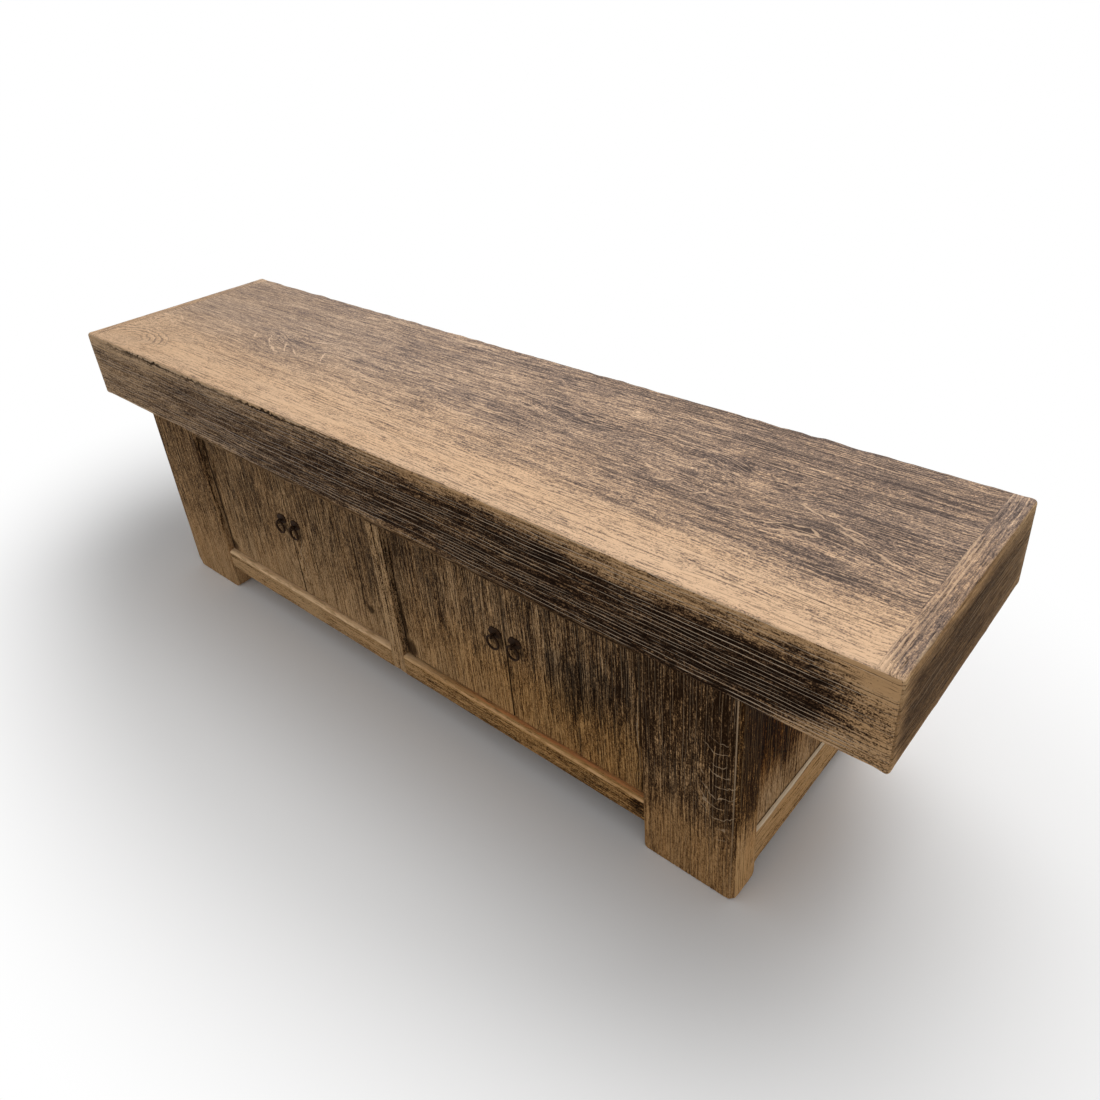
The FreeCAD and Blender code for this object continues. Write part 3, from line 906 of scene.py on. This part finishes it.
def leg_stain(f, clouds):
    """Dark under the top, tan towards the feet, and darkest on the right leg."""
    ragged = f.uneven(f.z, clouds, 0.2)
    height = f.profile(ragged, 0.0, slab_low.z, (
        (0.0, 0.22), (0.25, 0.28), (0.45, 0.45), (0.7, 0.54), (1.0, 0.62)))
    right = f.times(f.spread(f.x, 0.3, leg_inner), f.spread(ragged, 0.08, 0.2, 0.12, 0.2))
    arris = f.times(f.spread(f.x, leg_outer - 0.063, leg_outer - 0.043),
                    f.spread(ragged, 0.06, 0.14, 0.0, 0.1))
    outer = f.times(f.spread(f.x, leg_outer - 0.006, leg_outer - 0.003),
                    f.spread(ragged, 0.14, 0.24, -0.28, 0.12))
    return f.plus(height, right, arris, outer)


def leg_contrast(f):
    """Smooth on the feet, rough above."""
    return f.spread(f.z, 0.08, 0.24, 0.8, 1.6)


def leg_marks(f, clouds, colour, tones):
    """Pale hanging arcs and a rubbed outer step on the right front leg, with redder wood on side and foot."""
    across, _, height = f.split(f.shaky(44.0, 0.024))
    lean = f.plus(across, -web_middle.x)
    rows = f.times(f.plus(height, f.times(lean, lean, -web_sag)), web_pitch)
    broken = f.noise(f.join(f.times(across, 26.0), f.times(f.calc("FLOOR", rows), 3.7))).outputs[0]
    area = f.spread(f.distance(web_middle, web_radii), 1.0, 0.8)
    web = f.times(f.stripe(f.calc("FRACT", rows), 0.5, web_width), area, f.spread(broken, 0.44, 0.52))
    colour = f.blend(f.times(web, web_share), colour, tones["line"])
    front = f.spread(f.y, leg_front + 0.003, leg_front + 0.0015)
    step = f.times(f.stripe(f.x, leg_step, leg_step_width), front, f.spread(f.z, 0.1, 0.32, 0.3, 0.7))
    colour = f.blend(step, colour, tones["line"])
    side = f.times(f.spread(f.x, leg_step, leg_step + 0.003), f.spread(f.z, 0.12, 0.22, 0.35, 1.0))
    foot = f.times(f.spread(f.x, 0.3, 0.6), f.spread(f.z, 0.2, 0.1, 0.0, 0.5))
    return warm(f, colour, f.calc("MAXIMUM", side, foot))


# Finish of the rails and the stiles

rail_notch = Vector((leg_inner - 0.013, rail_low.y, rail_top - 0.02))
rail_notch_radii = (0.024, spot_depth, 0.03)
splinter_pitch = (26.0, 180.0, 180.0)


def rail_stain_and_highlight(f, clouds):
    """Tan rails, darker at the right, with a scored line under a bead lightened by painted highlight, and
    painted light at the back of the ledge against the shade of the door.
    """
    length = f.spread(f.x, -0.4, 0.5, -0.01, 0.4)
    # The upper stops are painted highlight on the bead and painted light at the back of the ledge, where the
    # door shades it
    bead_highlight = f.profile(f.z, rail_low.z, rail_top, (
        (0.0, 0.16), (0.25, 0.04), (0.66, 0.06), (0.72, 0.22), (0.77, 0.16), (0.81, -0.1), (0.88, -0.3),
        (1.0, -0.45)))
    notch = f.patch(rail_notch, rail_notch_radii, 0.6)
    return f.plus(f.uneven(length, clouds, 0.5), bead_highlight, notch)


def rail_marks(f, clouds, colour, tones):
    """Painted highlight as a pale broken line on the bead and a paler crest, and an orange tint at the back
    of the right rail's ledge, painted bright against its shade.
    """
    colour = warm(f, colour, f.spread(f.x, -0.3, 0.4, 0.2, 1.0))
    splinters = f.speckle(splinter_pitch, 3.0, 0.7)
    # Painted highlight: a pale broken line on the bead
    bead_highlight = f.spread(f.uneven(f.z, clouds, 0.005), rail_top - 0.0065, rail_top - 0.0045)
    bead_highlight = f.times(bead_highlight, f.spread(f.x, 0.2, -0.1), f.spread(splinters, 0.36, 0.56, 0.3, 0.95))
    colour = f.blend(bead_highlight, colour, BEAD_HIGHLIGHT_TONE)
    # Painted highlight on the crest of the bead
    crest_highlight = f.stripe(f.uneven(f.z, clouds, 0.006), rail_top - 0.0045, 0.003)
    crest_highlight = f.times(crest_highlight, f.spread(f.x, -0.1, 0.2), f.spread(splinters, 0.38, 0.58, 0.05, 0.95))
    colour = f.blend(crest_highlight, colour, CREST_HIGHLIGHT_TONE)
    # Orange at the back of the ledge, painted bright against the shade between the ledge and the door
    ledge_lit_orange = f.spread(f.z, rail_top - 0.004, rail_top - 0.002)
    ledge_lit_orange = f.times(ledge_lit_orange, f.stripe(f.y, door_low.y - 0.001, 0.006))
    ledge_lit_orange = f.times(ledge_lit_orange, f.spread(f.x, 0.1, 0.3), f.spread(splinters, 0.38, 0.6, 0.15, 0.75))
    return f.blend(ledge_lit_orange, colour, LEDGE_LIT_ORANGE_TONE)


def side_rail_stain_and_highlight(f, clouds):
    """Tan side rails with a dark line under a bead lightened by painted highlight."""
    # The top stops are painted highlight on the bead
    bead_highlight = f.profile(f.z, rail_top - 0.07, rail_top, (
        (0.0, 0.22), (0.2, 0.03), (0.72, 0.01), (0.86, -0.1), (0.92, -0.2), (0.96, 0.02), (1.0, -0.24)))
    return f.uneven(bead_highlight, clouds, 0.4)


def side_rail_marks(f, clouds, colour, tones):
    """Painted highlight as a pale splintered line along the bead, bright against the shade of the ledge."""
    colour = warm(f, colour, 0.5)
    # Painted highlight: a near-white line on the ledge next to the panel, against the shade there
    bead_highlight = f.spread(f.uneven(f.z, clouds, 0.006), rail_top - 0.0036, rail_top - 0.0022, 0.0, 0.95)
    return f.blend(bead_highlight, colour, SIDE_BEAD_HIGHLIGHT_TONE)


def head_shade(f, clouds):
    """Rails under the top, painted dark as the shade of the overhang, darkest at the right."""
    return f.uneven(f.spread(f.x, -0.6, 0.6, 0.6, 0.8), clouds, 0.3)


def stile_stain(f, clouds):
    """Tan with a dark groove down the middle and dark sides."""
    across = f.profile(f.absolute(f.x), 0.0, stile_half, (
        (0.0, 0.6), (0.08, 0.5), (0.14, 0.0), (0.86, 0.0), (0.95, 0.1), (1.0, 0.5)))
    height = f.spread(f.z, 0.1, slab_low.z, -0.01, 0.29)
    return f.plus(f.uneven(height, clouds, 0.5), across)


# Finish of the doors and panels

# Dark and pale spots of the doors: x, z, half width, half height, level
door_spots = (
    (0.48, 0.28, 0.06, 0.12, 0.2),
    (0.57, 0.3, 0.04, 0.14, 0.12),
    (0.33, 0.35, 0.02, 0.1, -0.2),
    (0.06, 0.37, 0.08, 0.07, 0.16),
    (-0.26, 0.36, 0.03, 0.07, 0.16),
    (-0.06, 0.3, 0.05, 0.16, 0.12),
    (-0.35, 0.2, 0.12, 0.08, -0.1),
    (-0.335, 0.33, 0.05, 0.06, -0.14),
    (-0.2, 0.34, 0.2, 0.1, -0.07),
)
door_figures = (
    ((-0.335, door_low.y, 0.22), (0.07, spot_depth, 0.14), 0.022),
)

# Painted shade as dark spots at two lower pivots, and a dark knot: x, z, half width, half height
pivot_shade_and_knot_spots = ((-0.6, 0.125, 0.02, 0.022), (0.04, 0.13, 0.02, 0.03), (-0.078, 0.172, 0.014, 0.016))

# Dark upright lines, one a crack down the second door and the rest painted shade, partly dirt, in the gaps by
# the legs and the stile: x, half width, lower end, share
crack_and_gap_shade_lines = (
    (-0.093, 0.0028, 0.16, 0.9),
    (-0.609, 0.009, 0.1, 0.85),
    (0.597, 0.0016, 0.1, 0.8),
    (0.61, 0.0035, 0.1, 0.9),
    (0.025, 0.007, 0.1, 0.85),
    (-0.024, 0.005, 0.1, 0.7),
)
door_line_fade = 0.02
pale_line_x = 0.603
pale_line_width = 0.0016
ring_stain_and_shade_radii = (0.024, spot_depth, 0.026)
sooty_middle = (0.485, door_low.y, 0.27)
sooty_radii = (0.06, spot_depth, 0.09)


def door_stain(f, clouds):
    """Tan below and dark above, darkest on the last door, with spots."""
    ragged = f.uneven(f.z, clouds, 0.25)
    height = f.profile(ragged, door_low.z, door_high.z, (
        (0.0, 0.22), (0.12, 0.28), (0.3, 0.43), (0.5, 0.55), (0.7, 0.6), (1.0, 0.68)))
    last = f.times(f.spread(f.x, 0.34, 0.44), f.spread(ragged, 0.16, 0.24, 0.14, 0.1))
    spots = [f.patch((x, door_low.y, z), (wide, spot_depth, tall), level)
             for x, z, wide, tall, level in door_spots]
    return f.plus(height, last, *spots)


def door_contrast(f):
    """Smoother near the floor, lined and rough above."""
    return f.spread(f.z, 0.08, 0.24, 1.45, 2.0)


def pivot_shade_and_ring_spots(f, clouds, colour, tones):
    """Painted shade as dark spots at the lower pivots, a dark knot, and a dark spot round each ring, partly a
    stain in the wood and partly painted shade.
    """
    for x, z, wide, tall in pivot_shade_and_knot_spots:
        spot = f.distance((x, door_low.y, z), (wide, spot_depth, tall))
        colour = f.blend(f.spread(spot, 1.0, 0.4, 0.0, 0.8), colour, tones["deep"])
    # Dark spot round each ring, partly a stain in the wood and partly painted shade
    for middle in ring_middles:
        spot = f.uneven(f.distance((middle.x, door_low.y, middle.z), ring_stain_and_shade_radii), clouds, 1.2)
        colour = f.blend(f.spread(spot, 1.0, 0.4, 0.0, 0.5), colour, tones["deep"])
    return colour


def cracks_and_gap_shade(f, wavy, colour, tones):
    """Painted shade, partly dirt, as dark lines in the gaps beside the hinge edges and the stile, a crack
    down the second door, and a cracked right side of the last door.
    """
    # Painted shade, partly dirt, in the gaps; the line on the second door is a crack
    for x, width, low, share in crack_and_gap_shade_lines:
        line = f.times(f.stripe(wavy, x, width), f.spread(f.z, low, low + door_line_fade))
        colour = f.blend(f.times(line, share), colour, tones["deep"])
    cracks = f.rows(f.join(f.z, f.x), 130.0, 0.1, 0.36)
    area = f.times(f.spread(f.x, 0.5, 0.53), f.spread(f.z, 0.15, 0.2))
    return f.blend(f.times(cracks, area, 0.8), colour, tones["deep"])


def meeting_edges(f, colour, tones):
    """Painted shade along the gap where two doors meet, deepest below the pulls."""
    off = f.absolute(f.x)
    colour = f.blend(f.times(f.stripe(off, meeting_line, 0.0022), 0.8), colour, tones["dark"])
    below = f.times(f.stripe(off, meeting_line, 0.003), f.spread(f.z, 0.26, 0.3, 0.9, 0.1))
    return f.blend(below, colour, tones["deep"])


def door_marks(f, clouds, colour, tones):
    """Stains and cracks of the doors, painted shade in the gaps, at the pivots and round the rings, with a
    sooty patch and a pale line on the last one.
    """
    wavy = f.uneven(f.x, clouds, 0.03)
    colour = pivot_shade_and_ring_spots(f, clouds, colour, tones)
    colour = cracks_and_gap_shade(f, wavy, colour, tones)
    sooty = f.uneven(f.distance(sooty_middle, sooty_radii), clouds, 2.4)
    colour = f.blend(f.spread(sooty, 1.0, 0.75, 0.0, 0.8), colour, sooty_tint, "MULTIPLY")
    colour = meeting_edges(f, colour, tones)
    colour = warm(f, colour, f.times(f.spread(f.x, -0.2, 0.5), f.spread(f.z, 0.32, 0.2)))
    pale = f.times(f.stripe(wavy, pale_line_x, pale_line_width), f.spread(f.z, 0.12, 0.2))
    return f.blend(f.times(pale, f.spread(clouds, -0.1, 0.1, 0.1, 0.6)), colour, tones["line"])


def panel_stain(f, clouds):
    """Tan below, nearly black above, with a ragged border."""
    ragged = f.plus(f.uneven(f.z, clouds, 0.3), f.spread(f.y, -0.17, 0.05, 0.0, 0.05))
    return f.profile(ragged, 0.1, slab_low.z, (
        (0.0, 0.22), (0.15, 0.28), (0.3, 0.46), (0.42, 0.72), (0.5, 0.9), (1.0, 0.95)))


def panel_marks(f, clouds, colour, tones):
    """Redder where the panels are dark."""
    return warm(f, colour, f.spread(f.z, 0.14, 0.26), dark_red_tint)


def inner_stain(f, clouds):
    """Nearly even tone of the boards that are out of sight."""
    return f.spread(f.z, 0.0, slab_high.z, 0.45, 0.55, kind="LINEAR")


# Finish of the pulls

iron_mottle_pitch = (160.0, 160.0, 160.0)
iron_rust_pitch = (420.0, 420.0, 420.0)


def blackened_iron():
    """Forged iron, nearly black, with brown in the hollows and a painted highlight on the high spots."""
    f = Finish("blackened_iron")
    mottle = f.spread(f.speckle(iron_mottle_pitch, 4.0), 0.3, 0.7)
    rust = f.spread(f.speckle(iron_rust_pitch, 3.0), 0.5, 0.75)
    colour = f.blend(mottle, IRON_DARK_TONE, IRON_TONE)
    colour = f.blend(f.times(rust, 0.5), colour, IRON_RUST_TONE)
    # Painted highlight on the ridges
    colour = f.blend(f.spread(f.ridge(), 0.52, 0.6, 0.0, 0.6), colour, IRON_HIGHLIGHT_TONE)
    roughness = f.spread(mottle, 0.0, 1.0, 0.5, 0.7, kind="LINEAR")
    f.surface(colour, roughness, f.uneven(mottle, rust, -0.4), strength=0.4, distance=0.0004)
    f.shader.inputs["Metallic"].default_value = 0.1
    f.shader.inputs["Specular IOR Level"].default_value = 0.12
    f.shader.inputs["Specular Tint"].default_value = (1.0, 0.72, 0.5, 1.0)
    return f.material


top_finish = elm("elm_top_long_grain", X, TOP_TONES, top_stain, top_figures, contrast=top_contrast,
                 line_share=top_lines, line_pitch=170.0, gone=0.44, marks=top_marks, face=Z, grit_share=0.8,
                 tint=0.2)
edge_finish = elm("elm_edge_long_grain", X, EDGE_TONES, edge_stain, contrast=edge_contrast,
                  line_share=edge_lines, line_pitch=150.0, line_width=0.075, gone=0.42, marks=edge_marks,
                  face=Y, grit_share=1.1, tint=0.25)
end_finish = elm("elm_end_cross_grain", Y, DOOR_TONES, end_stain, contrast=end_contrast, line_share=0.3,
                 upper_tones=TOP_TONES, marks=end_marks, grit_share=0.8, tint=0.25)
leg_finish = elm("elm_leg_upright_grain", Z, LEG_TONES, leg_stain, contrast=leg_contrast, line_pitch=200.0,
                 gone=0.44, edge_share=0.5, marks=leg_marks, grit_share=0.7)
rail_finish = elm("elm_rail_long_grain", X, DOOR_TONES, rail_stain_and_highlight, contrast=1.8, marks=rail_marks,
                  grit_share=0.9)
head_finish = elm("elm_head_long_grain", X, DOOR_TONES, head_shade, edge_share=0.5)
side_head_finish = elm("elm_head_cross_grain", Y, DOOR_TONES, head_shade, edge_share=0.5)
stile_finish = elm("elm_stile_upright_grain", Z, DOOR_TONES, stile_stain, contrast=2.3, edge_share=0.7,
                   grit_share=1.0)
side_rail_finish = elm("elm_rail_cross_grain", Y, DOOR_TONES, side_rail_stain_and_highlight, contrast=1.9,
                       marks=side_rail_marks, grit_share=0.9)
door_finish = elm("elm_door_upright_grain", Z, DOOR_TONES, door_stain, door_figures, contrast=door_contrast,
                  line_pitch=240.0, gone=0.43, marks=door_marks, face=Y, grit_share=0.7)
panel_finish = elm("elm_panel_upright_grain", Z, PANEL_TONES, panel_stain, contrast=1.4, marks=panel_marks)
inner_long_finish = elm("elm_inner_long_grain", X, INNER_TONES, inner_stain)
inner_cross_finish = elm("elm_inner_cross_grain", Y, INNER_TONES, inner_stain)
inner_upright_finish = elm("elm_inner_upright_grain", Z, INNER_TONES, inner_stain)
iron_finish = blackened_iron()


# Pieces of the thick top


def slab_piece(name, planes):
    """Part of the rounded slab that is left behind a set of saw planes."""
    obj = block(name, slab_low, slab_high)
    soften(obj, slab_round, slab_round_steps)
    for point, normal in planes:
        carve(obj, point, normal)
    return obj


def bevel_seam(face):
    """Saw plane between the top board and the front (face -1) or back (face 1) board."""
    return Vector((0, face * slab_high.y, slab_high.z)), Vector((0, -face, 1))


def mitre_seam(face, side):
    """Upright saw plane between an edge board and the end board at one side."""
    corner = Vector((side * slab_high.x, face * slab_high.y, 0))
    return corner, Vector((side * (slab_high.y - edge_inner), -face * (slab_high.x - end_inner), 0))


def end_seam(side):
    """Saw plane between the top board and the end board at the left (side -1) or right (side 1)."""
    return Vector((side * end_inner, 0, 0)), Vector((side, 0, 0))


def other_side(plane):
    """The same saw plane, to keep what lies before it."""
    point, normal = plane
    return point, -normal


def edge_board_room(face, side):
    """Wedge at one corner of the slab that the front or back board fills."""
    over = Vector((slab_round, slab_round, slab_round))
    room = block("edge_board_room", slab_low - over, slab_high + over)
    for plane in (other_side(end_seam(side)), bevel_seam(face), mitre_seam(face, side)):
        carve(room, *plane)
    return room


def wear(obj, along, seams, wave_depth=slab_wave_depth, furrow_depth=slab_furrow_depth):
    """Dents the upper long edges, alike on the boards that share them, and sinks the grain off the seams."""
    for face, name in ((-1, "front_arris"), (1, "back_arris")):
        edge = Vector((face * slab_high.y, slab_high.z))
        weigh(obj, name, lambda place: 1 - (place.yz - edge).length / arris_reach)
        for direction, way in (("Y", -face), ("Z", -1)):
            sink(obj, arris_dents, way * arris_depth, arris_octaves, direction, name, arris_contrast)
    planes = [(point, normal.normalized()) for point, normal in seams]

    def off_seams(place):
        return min(abs((place - point).dot(normal)) for point, normal in planes) / seam_reach

    weigh(obj, "free", off_seams)
    relief(obj, along, slab_wave, wave_depth, group="free")
    relief(obj, along, slab_furrow, furrow_depth, 3, "free")
    obj.vertex_groups.clear()


def make_slab():
    """Top board between front, back and end boards that meet in mitres."""
    bevel_seams = [bevel_seam(face) for face in (-1, 1)]
    end_seams = [end_seam(side) for side in (-1, 1)]
    mitre_seams = [mitre_seam(face, side) for face in (-1, 1) for side in (-1, 1)]
    top = slab_piece("top_board_worn", (
        end_seam(1), end_seam(-1), ((0, 0, top_board_under), (0, 0, -1)),
        other_side(bevel_seam(-1)), other_side(bevel_seam(1))))
    cut_rows(top, X, length_row)
    cut_rows(top, Y, top_grain_row)
    wear(top, X, bevel_seams + end_seams)
    seat(top, "cabinet", "top_board", top_finish)

    for name, face in (("front", -1), ("back", 1)):
        inner_face = ((0, face * edge_inner, 0), (0, -face, 0))
        board = slab_piece("top_%s_board_worn" % name, (
            mitre_seam(face, -1), mitre_seam(face, 1), inner_face, bevel_seam(face)))
        cut_rows(board, X, length_row)
        cut_rows(board, Z, grain_row)
        wear(board, X, bevel_seams + mitre_seams)
        seat(board, "cabinet", "top_%s_board" % name, edge_finish)

    for name, side in (("left", -1), ("right", 1)):
        board = slab_piece("top_end_board_%s_worn" % name, (other_side(end_seam(side)),))
        cut_rows(board, Y, length_row)
        cut_rows(board, Z, grain_row)
        cut_rows(board, X, grain_row)
        for face in (-1, 1):
            cut_away(board, edge_board_room(face, side))
        wear(board, Y, bevel_seams + end_seams + mitre_seams, end_wave_depth, end_furrow_depth)
        seat(board, "cabinet", "top_end_board_" + name, end_finish)


# Frame, doors and panels

# Pieces of the frame: solid, size of its small faces, way of the grain, finish
frame_pieces = (
    ("front_leg_left", leg_voxel, Z, leg_finish),
    ("front_leg_right", leg_voxel, Z, leg_finish),
    ("back_leg_left", back_voxel, Z, leg_finish),
    ("back_leg_right", back_voxel, Z, leg_finish),
    ("front_centre_stile", stile_voxel, Z, stile_finish),
    ("back_centre_stile", back_voxel, Z, stile_finish),
    ("front_bottom_rail_left", front_rail_voxel, X, rail_finish),
    ("front_bottom_rail_right", front_rail_voxel, X, rail_finish),
    ("back_bottom_rail", back_voxel, X, rail_finish),
    ("front_top_rail", head_voxel, X, head_finish),
    ("back_top_rail", back_voxel, X, head_finish),
    ("side_bottom_rail_left", side_rail_voxel, Y, side_rail_finish),
    ("side_bottom_rail_right", side_rail_voxel, Y, side_rail_finish),
    ("side_top_rail_left", side_rail_voxel, Y, side_head_finish),
    ("side_top_rail_right", side_rail_voxel, Y, side_head_finish),
)

# Parts of a pull: name, the kind of body that it rides, size of its small faces
pull_parts = (("plate", "door", iron_voxel), ("eye", "door", eye_voxel), ("ring", "ring", iron_voxel))


def round_foot(obj, node):
    """Rounds the lower outer and back edges of a leg."""
    low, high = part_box(node)
    up = Vector((0, 0, 1))
    inwards = Vector((0, 1, 0)) if low.y < 0 else Vector((0, -1, 0))
    outwards = Vector((1, 0, 0)) if low.x > 0 else Vector((-1, 0, 0))
    for way, radius in ((inwards, foot_back_round), (outwards, foot_outer_round)):
        corner = Vector([high[axis] if way[axis] > 0 else low[axis] for axis in (X, Y, Z)])
        centre = corner - (way - up) * radius
        for turn in foot_turns:
            normal = way * math.cos(turn) - up * math.sin(turn)
            carve(obj, centre + normal * radius, normal)


def make_frame():
    """Legs, stiles and rails, from their solids."""
    for node, voxel, along, finish in frame_pieces:
        obj = solid_copy(node + "_worn", node)
        if "leg" in node:
            round_foot(obj, node)
        skin(obj, voxel, frame_smoothing)
        relief(obj, along, frame_furrow, board_furrow_depth)
        seat(obj, "cabinet", node, finish)


def grain_rows(obj, along, across):
    """Gives a board rows of faces that follow its grain, and sinks furrows into them."""
    cut_rows(obj, along, length_row)
    cut_rows(obj, across, grain_row)
    relief(obj, along, plank_furrow, board_furrow_depth, 3)


def plank(name, node, along, across):
    """Flat board with soft edges and furrows."""
    obj = block(name, *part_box(node))
    soften(obj, plank_round, plank_round_steps)
    grain_rows(obj, along, across)
    return obj


def make_panels():
    """Panels of the sides and the back."""
    for side in ("left", "right"):
        node = "side_panel_" + side
        seat(plank(node + "_worn", node, Z, Y), "cabinet", node, panel_finish)
        node = "back_panel_" + side
        seat(plank(node + "_worn", node, Z, X), "cabinet", node, panel_finish)


def make_door(number):
    """Door board, rounded along its hinge edge, and its two battens."""
    node = "door_%d_board" % number
    low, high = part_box(node)
    hinge_x = low.x if number in left_hung_doors else high.x
    obj = block(node + "_worn", low, high)

    def at_hinge(start, end):
        return abs(start.x - hinge_x) + abs(end.x - hinge_x) < plank_round and start.z != end.z

    soften(obj, door_hinge_round, door_hinge_steps, at_hinge)
    grain_rows(obj, Z, X)
    seat(obj, "door_%d" % number, node, door_finish)

    for level in ("upper", "lower"):
        node = "door_%d_batten_%s" % (number, level)
        seat(plank(node + "_worn", node, X, Z), "door_%d" % number, node, inner_long_finish)


def make_pull(number):
    """Plate and eye that ride with the door, and the ring that swings in the eye."""
    for part, body, voxel in pull_parts:
        node = "pull_%d_%s" % (number, part)
        obj = solid_copy(node + "_forged", node)
        skin(obj, voxel, iron_smoothing)
        relief(obj, X, forged_dent, forged_depth)
        seat(obj, "%s_%d" % (body, number), node, iron_finish)


def finish_hidden_boards():
    """Materials of the solids that show only inside the cabinet or from below."""
    hidden = {
        "top_under_board": inner_long_finish,
        "top_rib_left": inner_cross_finish,
        "top_rib_centre": inner_cross_finish,
        "top_rib_right": inner_cross_finish,
        "top_dowels": inner_upright_finish,
        "floor_board_left": inner_long_finish,
        "floor_board_right": inner_long_finish,
        "centre_partition": inner_cross_finish,
    }
    for number in door_numbers:
        hidden["door_%d_pivot_pins" % number] = inner_upright_finish
    for node, finish in hidden.items():
        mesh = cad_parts[node].data
        mesh.materials.clear()
        mesh.materials.append(finish)


make_slab()
make_frame()
make_panels()
for number in door_numbers:
    make_door(number)
    make_pull(number)
finish_hidden_boards()


# Floor, light and camera

white = (1.0, 1.0, 1.0, 1.0)
floor_size = 60
floor_tone = (0.95, 0.95, 0.95, 1.0)
floor_roughness = 0.9
shadow_radii = (1.3, 0.75, 1.0)
shadow_fade_start = 0.8
shadow_fade_end = 1.4
sky_strength = 0.42
softbox_length = 3.0
softbox_width = 2.0
softbox_power = 70.0
softbox_place = Vector((0.7, 1.0, 3.1))
softbox_target = Vector((0.0, 0.0, 0.5))

# View of the photograph, in a frame of 1100 by 1100 pixels
frame_pixels = 1100.0
camera_place = Vector((1.2399, -1.0271, 1.3034))
camera_azimuth = math.radians(41.1664)
camera_elevation = math.radians(30.6531)
camera_roll = math.radians(-3.3058)
focal_pixels = 908.36
middle_pixel_x = 590.21
middle_pixel_y = 488.23


def make_floor():
    """Pale floor that keeps the shadow near the cabinet and turns white far from it."""
    bpy.ops.object.select_all(action="DESELECT")
    bpy.ops.mesh.primitive_plane_add(size=floor_size, location=(0, 0, cad_low.z))
    floor = bpy.context.object
    floor.name = "studio_floor"
    f = Finish("studio_floor")
    f.shader.inputs["Base Color"].default_value = floor_tone
    f.shader.inputs["Roughness"].default_value = floor_roughness
    away = f.spread(f.distance((0, 0, 0), shadow_radii), shadow_fade_start, shadow_fade_end)
    seen = f.add("ShaderNodeLightPath").outputs["Is Camera Ray"]
    glow = f.add("ShaderNodeEmission", white, 1.0).outputs[0]
    mixed = f.add("ShaderNodeMixShader", f.times(away, seen), f.shader.outputs[0], glow).outputs[0]
    f.plug(f.tree.nodes["Material Output"].inputs["Surface"], mixed)
    floor.data.materials.append(f.material)


def make_sky():
    """Even light from all round, which the camera and glossy faces see as white."""
    world = bpy.data.worlds.new("studio")
    bpy.context.scene.world = world
    world.use_nodes = True
    nodes = world.node_tree.nodes
    links = world.node_tree.links
    path = nodes.new("ShaderNodeLightPath")
    shown = nodes.new("ShaderNodeMath")
    shown.operation = "MAXIMUM"
    links.new(path.outputs["Is Camera Ray"], shown.inputs[0])
    links.new(path.outputs["Is Glossy Ray"], shown.inputs[1])
    level = nodes.new("ShaderNodeMapRange")
    level.inputs["To Min"].default_value = sky_strength
    level.inputs["To Max"].default_value = 1.0
    links.new(shown.outputs[0], level.inputs["Value"])
    nodes["Background"].inputs["Color"].default_value = white
    links.new(level.outputs[0], nodes["Background"].inputs["Strength"])


def make_softbox():
    """Wide lamp over the cabinet, from the back right."""
    lamp = bpy.data.lights.new("overhead_softbox", "AREA")
    lamp.shape = "RECTANGLE"
    lamp.size = softbox_length
    lamp.size_y = softbox_width
    lamp.energy = softbox_power
    softbox = bpy.data.objects.new("overhead_softbox", lamp)
    bpy.context.scene.collection.objects.link(softbox)
    softbox.location = softbox_place
    softbox.rotation_euler = (softbox_target - softbox_place).to_track_quat("-Z", "Y").to_euler()


def make_camera():
    """Camera at the photograph's view."""
    data = bpy.data.cameras.new("photo_view")
    camera = bpy.data.objects.new("photo_view", data)
    bpy.context.scene.collection.objects.link(camera)
    bpy.context.scene.camera = camera
    level = math.cos(camera_elevation)
    back = Vector((math.sin(camera_azimuth) * level, -math.cos(camera_azimuth) * level,
                   math.sin(camera_elevation)))
    right = Vector((0, 0, 1)).cross(back).normalized()
    up = back.cross(right)
    turned_right = right * math.cos(camera_roll) + up * math.sin(camera_roll)
    turned_up = up * math.cos(camera_roll) - right * math.sin(camera_roll)
    turn = Matrix((turned_right, turned_up, back)).transposed()
    camera.matrix_world = Matrix.Translation(camera_place) @ turn.to_4x4()
    data.lens = focal_pixels / frame_pixels * data.sensor_width
    data.shift_x = (frame_pixels / 2 - middle_pixel_x) / frame_pixels
    data.shift_y = (middle_pixel_y - frame_pixels / 2) / frame_pixels


make_floor()
make_sky()
make_softbox()
make_camera()
bpy.context.scene.view_settings.view_transform = "Standard"
